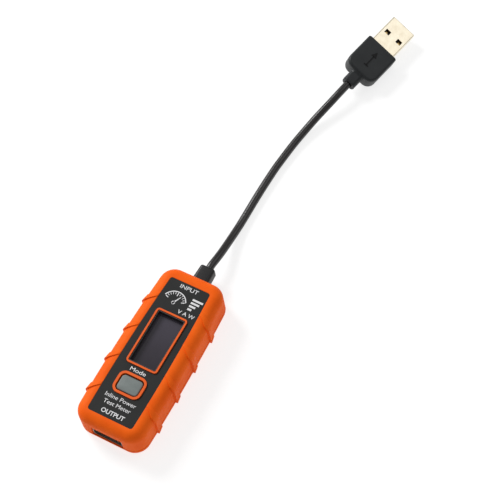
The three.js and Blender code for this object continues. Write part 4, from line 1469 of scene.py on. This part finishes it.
@dataclass
class Lead:
    """The lead: one smooth tube on its route, from inside the boot to inside the plug's neck."""

    diameter: float = 3.3
    half_length: float = 36.75
    sides: int = 24
    step: float = 0.7
    run_on: float = 0.7
    girth: float = 0.0104
    route: tuple[tuple[float, float, float], ...] = (
        (0, 7.7, 6.45),
        (0.05, 10, 6.37),
        (0.3, 13.25, 5.95),
        (0.35, 17.25, 5.05),
        (0.2, 21.25, 4),
        (0.05, 25.25, 3.05),
        (-0.05, 29.25, 2.35),
        (-0.1, 33.25, 1.9),
        (-0.15, 39.25, 1.75),
        (-0.2, 45.25, 1.72),
        (-0.15, 51.25, 1.72),
        (0, 57.25, 1.72),
        (0.25, 63.25, 1.72),
        (0.8, 69.25, 1.75),
        (1.45, 75.25, 1.85),
        (2.25, 80.25, 2.1),
        (3.3, 85.45, 2.6),
        (4.55, 90.85, 3.35),
        (5.95, 95.85, 4.2),
        (7.35, 100.85, 5),
        (8.55, 105.45, 5.65),
        (9.7, 110.25, 5.96),
    )

    def centreline(self) -> np.ndarray:
        """Points along the route.

        Returns:
            A Catmull-Rom curve through the route's points, run on a little at both ends, and
            taken at even steps of its length.
        """
        knots = np.array(self.route, dtype=float) + [0.0, self.half_length, 0.0]
        back, on = knots[0] - knots[1], knots[-1] - knots[-2]
        start = knots[0] + back / np.linalg.norm(back) * self.run_on
        end = knots[-1] + on / np.linalg.norm(on) * self.run_on
        knots = np.concatenate([[start], knots, [end]])
        before = np.concatenate([[2 * knots[0] - knots[1]], knots[:-2]])
        after = np.concatenate([knots[2:], [2 * knots[-1] - knots[-2]]])
        a, b, c, d = before, knots[:-1], knots[1:], after
        t = np.linspace(0, 1, 24, endpoint=False)[None, :, None]
        a, b, c, d = (v[:, None, :] for v in (a, b, c, d))
        square, cube = 2 * a - 5 * b + 4 * c - d, 3 * b - a - 3 * c + d
        fine = 0.5 * (2 * b + (c - a) * t + square * t**2 + cube * t**3)
        fine = np.concatenate([fine.reshape(-1, 3), knots[-1:]])
        run = np.concatenate([[0], np.cumsum(np.linalg.norm(np.diff(fine, axis=0), axis=1))])
        even = np.linspace(0, run[-1], round(run[-1] / self.step) + 1)
        return np.column_stack([np.interp(even, run, fine[:, i]) for i in range(3)])

    def build(self, with_pieces: list[str | bpy.types.Object]) -> bpy.types.Object:
        """Args:
            with_pieces: the boot and the plug's pieces. Not used.

        Returns:
            The tube: at each point a circle square to the line, its first radius kept level.
        """
        line = self.centreline()
        ahead = np.gradient(line, axis=0)
        ahead /= np.linalg.norm(ahead, axis=1, keepdims=True)
        across = np.cross(ahead, [0.0, 0.0, 1.0])
        across /= np.linalg.norm(across, axis=1, keepdims=True)
        up = np.cross(across, ahead)
        angle = np.linspace(0, 2 * math.pi, self.sides, endpoint=False)
        ring = np.cos(angle)[None, :, None] * across[:, None] + np.sin(angle)[None, :, None] * up[:, None]
        tube = lofted(line[:, None] + self.diameter / 2 * ring)
        run = np.concatenate([[0], np.cumsum(np.linalg.norm(np.diff(line, axis=0), axis=1))])
        piece = placed("lead_cable", tube, Finish.JACKET_LINE, HOUSING, ("cable",))
        self._map(piece, run)
        log.info("lead: %.1f mm long", run[-1])
        return piece

    def _map(self, piece: bpy.types.Object, run: np.ndarray) -> None:
        """Writes the cable's own map: U once round, as metres of the girth, and V metres along.

        A face across the seam takes the next turn's U, so the map doesn't run backwards there.

        Args:
            piece: the cable.
            run: how far along each ring is, in millimetres.
        """
        mesh = piece.data
        layer = mesh.uv_layers.new(name="run")
        corner = np.zeros(len(mesh.loops), dtype=np.int64)
        mesh.loops.foreach_get("vertex_index", corner)
        turn = (corner % self.sides) / self.sides
        starts = np.zeros(len(mesh.polygons), dtype=np.int64)
        mesh.polygons.foreach_get("loop_start", starts)
        sizes = np.diff(np.append(starts, len(corner)))
        first = np.repeat(turn[starts], sizes)
        turn = np.where((np.abs(turn - first) > 0.5) & (turn < 0.5), turn + 1, turn)
        turn = np.where((np.abs(turn - first) > 0.5) & (first < 0.5), turn - 1, turn)
        along = run[corner // self.sides] * MM
        layer.data.foreach_set("uv", np.column_stack([turn * self.girth, along]).ravel())


# ------------------------------------------------------------------------------ legends


def bar(start: np.ndarray, end: np.ndarray, start_width: float, end_width: float) -> np.ndarray:
    """The four corners of a flat bar that may taper.

    Args:
        start: the middle of its first end.
        end: the middle of its other end.
        start_width: its width at the first end.
        end_width: its width at the other.

    Returns:
        Each end's middle, moved half its width to either side, square to the bar.
    """
    ahead = (end - start) / np.linalg.norm(end - start)
    aside = np.array([-ahead[1], ahead[0]])
    return np.array(
        [
            start - aside * start_width / 2,
            end - aside * end_width / 2,
            end + aside * end_width / 2,
            start + aside * start_width / 2,
        ]
    )


def slab(outline: np.ndarray, low: float, high: float) -> Surface:
    """A flat plate of one outline between two heights."""
    return lofted(np.stack([lifted(outline, z) for z in (low, high)]))


@dataclass(frozen=True)
class Words:
    """One line of print: its letters, where its middle is, how wide and how tall it is."""

    name: str
    letters: str
    middle: tuple[float, float]
    width: float
    cap: float
    weight: float = 0.0


@dataclass
class Legends:
    """The light print on the label: words for its ends and key, units, and a dial."""

    height: float = 14.9
    thick: float = 0.03
    sunk: float = 0.01
    dial_middle: tuple[float, float] = (-2.6, 21.7)
    dial_radius: float = 5.2
    dial_span: tuple[float, float] = (22.0, 158.0)
    lines: tuple[Words, ...] = (
        Words("legend_input", "INPUT", (0.4, 29.6), 8.0, 1.75, 0.008),
        Words("legend_units", "V A W", (4.6, 19.35), 7.4, 1.7, 0.008),
        Words("legend_mode", "Mode", (0.0, -10.0), 6.9, 1.7, 0.008),
        Words("legend_line_1", "Inline Power", (0.0, -23.3), 13.6, 1.75, 0.004),
        Words("legend_line_2", "Test Meter", (0.0, -26.1), 12.0, 1.75, 0.004),
        Words("legend_output", "OUTPUT", (0.2, -29.75), 10.2, 1.85, 0.02),
    )

    def line(self, words: Words) -> bpy.types.Object:
        """One line of print.

        Args:
            words: the line.

        Returns:
            Its letters as a thin closed mesh, stretched to the line's width and the height of
            its capitals, lying on the label.
        """
        curve = bpy.data.curves.new(words.name, "FONT")
        curve.body = words.letters
        curve.size = 1.0
        curve.resolution_u = 6
        curve.offset = words.weight
        curve.extrude = 0.01
        source = bpy.data.objects.new(words.name + "_letters", curve)
        bpy.context.scene.collection.objects.link(source)
        graph = bpy.context.evaluated_depsgraph_get()
        mesh = bpy.data.meshes.new_from_object(source.evaluated_get(graph))
        bpy.data.objects.remove(source)
        work = bmesh.new()
        work.from_mesh(mesh)
        bmesh.ops.remove_doubles(work, verts=work.verts, dist=1e-5)
        bmesh.ops.recalc_face_normals(work, faces=work.faces)
        work.to_mesh(mesh)
        work.free()
        count = len(mesh.vertices)
        points = np.zeros(count * 3)
        mesh.vertices.foreach_get("co", points)
        points = points.reshape(-1, 3)
        cap = 0.73 * curve.size
        left, right = points[:, 0].min(), points[:, 0].max()
        points[:, 0] = (points[:, 0] - (left + right) / 2) * words.width / (right - left) + words.middle[0]
        points[:, 1] = (points[:, 1] - cap / 2) * words.cap / cap + words.middle[1]
        points[:, 2] = np.where(points[:, 2] > 0, self.height + self.thick, self.height - self.sunk)
        mesh.vertices.foreach_set("co", (points * MM).ravel())
        mesh.update()
        mesh.materials.clear()
        mesh.materials.append(material(Finish.PRINT))
        piece = bpy.data.objects.new(words.name, mesh)
        bpy.context.scene.collection.objects.link(piece)
        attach(piece, HOUSING)
        log.info("%s: %d points", words.name, count)
        return piece

    def dial(self) -> bpy.types.Object:
        """A dial: an arc with eleven ticks, a tapered needle and its hub, with a bar scale beside it.

        Returns:
            Bars placed at even angles round the dial's middle, and an arc band between two radii.
        """
        middle = np.array(self.dial_middle)
        radius = self.dial_radius

        def at(angle: float, reach: float) -> np.ndarray:
            """A point at an angle and a distance from the dial's middle."""
            return middle + reach * on_circle(np.array(angle))

        shapes = []
        low, high = self.height - self.sunk, self.height + self.thick
        first, last = (math.radians(v) for v in self.dial_span)
        span = on_circle(np.linspace(first, last, 41))
        outer, inner = (middle + reach * span for reach in (radius, radius - 0.42))
        corners = [lifted(inner, low), lifted(outer, low), lifted(outer, high), lifted(inner, high)]
        parts = [lofted(np.stack(corners, axis=1))]
        for i, angle in enumerate(np.linspace(first, last, 11)):
            deep = 1.35 if i % 5 == 0 else 0.85
            wide = 0.36 if i % 5 == 0 else 0.24
            shapes.append(bar(at(angle, radius - 0.7 - deep), at(angle, radius - 0.62), wide, wide))
        needle = math.radians(62)
        shapes.append(bar(at(needle, -0.6), at(needle, radius - 1.0), 0.75, 0.2))
        hub = np.linspace(0, 2 * math.pi, 24, endpoint=False)
        shapes.append(middle + 0.75 * on_circle(hub))
        for i in range(4):
            foot = middle + [radius + 1.2, 0.1 + 1.45 * i]
            shapes.append(bar(foot, foot + [1.8 + 0.95 * i, 0.0], 0.85, 0.85))
        parts += [slab(shape, low, high) for shape in shapes]
        return placed("legend_dial", joined(parts), Finish.PRINT, HOUSING, crease=30)

    def build(self) -> None:
        """Builds every line and the dial."""
        for words in self.lines:
            self.line(words)
        self.dial()


# -------------------------------------------------------------------- dressing and stage


@dataclass
class CarriedSolids:
    """The solids that keep their own shape: each gets its finish, and those that show soft edges."""

    soft_edges: dict[str, float] = field(
        default_factory=lambda: {
            "front_case": 0.22,
            "window_bezel": 0.08,
            "display_lens": 0.06,
            "front_label": 0.05,
            "output_socket_shell": 0.05,
            "output_socket_insulator": 0.1,
            "plug_insulator": 0.1,
            "rear_case": 0.15,
            "case_screw_output_left": 0.1,
            "case_screw_output_right": 0.1,
            "case_screw_input_left": 0.1,
            "case_screw_input_right": 0.1,
        }
    )

    def dress(self, nodes: dict[str, bpy.types.Object], record: dict) -> None:
        """Gives every solid the finish of its slot.

        Args:
            nodes: the solids by name.
            record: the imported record, whose subparts name each node's slot.
        """
        slots = self._slots(record)
        for name, node in nodes.items():
            finish = SLOT_FINISH[slots[name]]
            node.data.materials.clear()
            node.data.materials.append(material(finish))
            first_slot = np.zeros(len(node.data.polygons), dtype=np.int32)
            node.data.polygons.foreach_set("material_index", first_slot)
            width = self.soft_edges.get(name)
            if width:
                self._soften(node, width)
            log.info("%s: %s", name, finish.name.lower())

    @staticmethod
    def _slots(record: dict) -> dict[str, str]:
        """Each node's slot name from the record."""
        return {part["node"]: part["material_slot"] for part in record["subparts"]}

    @staticmethod
    def _soften(node: bpy.types.Object, width: float) -> None:
        """Welds, clears flat seams and bevels a solid's sharp edges, by modifiers only.

        Args:
            node: the solid.
            width: the bevel's width, in millimetres.
        """
        weld = node.modifiers.new("weld", "WELD")
        weld.merge_threshold = 1e-6
        flat = node.modifiers.new("flat", "DECIMATE")
        flat.decimate_type = "DISSOLVE"
        flat.angle_limit = math.radians(0.5)
        bevel = node.modifiers.new("edge", "BEVEL")
        bevel.width = width * MM
        bevel.segments = 3
        bevel.limit_method = "ANGLE"
        bevel.angle_limit = math.radians(40)


@dataclass
class Stage:
    """The camera, the light and the floor."""

    place: tuple[float, float, float] = (0.219145, -0.209126, 0.630631)
    azimuth: float = 38.12
    elevation: float = 61.25
    tilt: float = -10.73
    lens: float = 129.6

    def camera(self) -> bpy.types.Object:
        """The camera: aimed by azimuth and elevation, then turned about its own axis."""
        az, el, tilt = (math.radians(v) for v in (self.azimuth, self.elevation, self.tilt))
        back = np.array([math.sin(az) * math.cos(el), -math.cos(az) * math.cos(el), math.sin(el)])
        right = np.cross(-back, [0.0, 0.0, 1.0])
        right /= np.linalg.norm(right)
        up = np.cross(back, right)
        across = math.cos(tilt) * right + math.sin(tilt) * up
        above = math.cos(tilt) * up - math.sin(tilt) * right
        turn = Matrix([[across[i], above[i], back[i], self.place[i]] for i in range(3)] + [[0, 0, 0, 1]])
        data = bpy.data.cameras.new("camera")
        data.lens = self.lens
        data.sensor_width = 36.0
        data.sensor_fit = "HORIZONTAL"
        data.clip_start = 0.01
        data.clip_end = 20.0
        camera = bpy.data.objects.new("camera", data)
        bpy.context.scene.collection.objects.link(camera)
        camera.matrix_world = turn
        bpy.context.scene.camera = camera
        return camera

    def lamp(
        self,
        name: str,
        place: tuple[float, float, float],
        aim: tuple[float, float, float],
        size: float,
        watts: float,
    ) -> None:
        """One soft square lamp.

        Args:
            name: its name.
            place: where it is, in metres.
            aim: what it points at.
            size: its side, in metres.
            watts: its power.
        """
        data = bpy.data.lights.new(name, "AREA")
        data.shape = "SQUARE"
        data.size = size
        data.energy = watts
        lamp = bpy.data.objects.new(name, data)
        bpy.context.scene.collection.objects.link(lamp)
        lamp.location = place
        lamp.rotation_euler = (Vector(aim) - Vector(place)).to_track_quat("-Z", "Y").to_euler()

    def light(self) -> None:
        """White surroundings, one large lamp high on the left and a weaker one at the far end."""
        world = bpy.data.worlds.new("surroundings")
        bpy.context.scene.world = world
        world.use_nodes = True
        sky = world.node_tree.nodes["Background"]
        sky.inputs["Color"].default_value = (1.0, 1.0, 1.0, 1.0)
        sky.inputs["Strength"].default_value = 0.42
        self.lamp("key_lamp", (-0.72, 0.26, 0.62), (0.0, 0.02, 0.0), 0.35, 8.0)
        self.lamp("far_lamp", (0.31, 0.5, 0.7), (0.01, 0.17, 0.0), 0.6, 0.95)
        bpy.context.scene.view_settings.view_transform = "Standard"
        bpy.context.scene.view_settings.look = "None"

    def floor(self) -> bpy.types.Object:
        """A pale plain floor with a faint tooth, as one flat sheet."""
        tree = Tree("floor_paper")
        grain = tree.noise(tree.place(), 2.0, 3.0)
        white = linear((252, 252, 252))
        tree.close(
            {
                "Base Color": tree.mix(grain, linear((156, 156, 156)), linear((150, 150, 150))),
                "Roughness": 0.9,
                "Emission Color": white,
                "Emission Strength": 0.78,
                "Specular IOR Level": 0.1,
            }
        )
        mesh = bpy.data.meshes.new("floor")
        half, level = 3.0, -2e-5
        corners = [(-half, -half, level), (half, -half, level), (half, half, level), (-half, half, level)]
        mesh.from_pydata(corners, [], [(0, 1, 2, 3)])
        mesh.materials.append(tree.material)
        floor = bpy.data.objects.new("floor", mesh)
        bpy.context.scene.collection.objects.link(floor)
        return floor


def main() -> None:
    """Builds the pieces in order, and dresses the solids."""
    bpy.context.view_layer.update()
    stage = Stage()
    stage.camera()
    plug_frame = PlugFrame()
    boot = LeadBoot().build()
    grip = PlugMoulding(plug_frame)
    plug = [grip.build(), grip.arrow(), PlugShell(plug_frame).build()]
    inside = ["plug_insulator"] + [f"plug_contact_{i}" for i in range(1, 5)]
    Lead().build([boot, *plug, *inside])
    plan = Housing()
    FrontJacket(plan).build()
    RearJacket(plan).build()
    ModeKey().build()
    Legends().build()
    CarriedSolids().dress(frame["nodes"], frame["record"])
    stage.light()
    stage.floor()


if __name__ == "__main__":
    main()
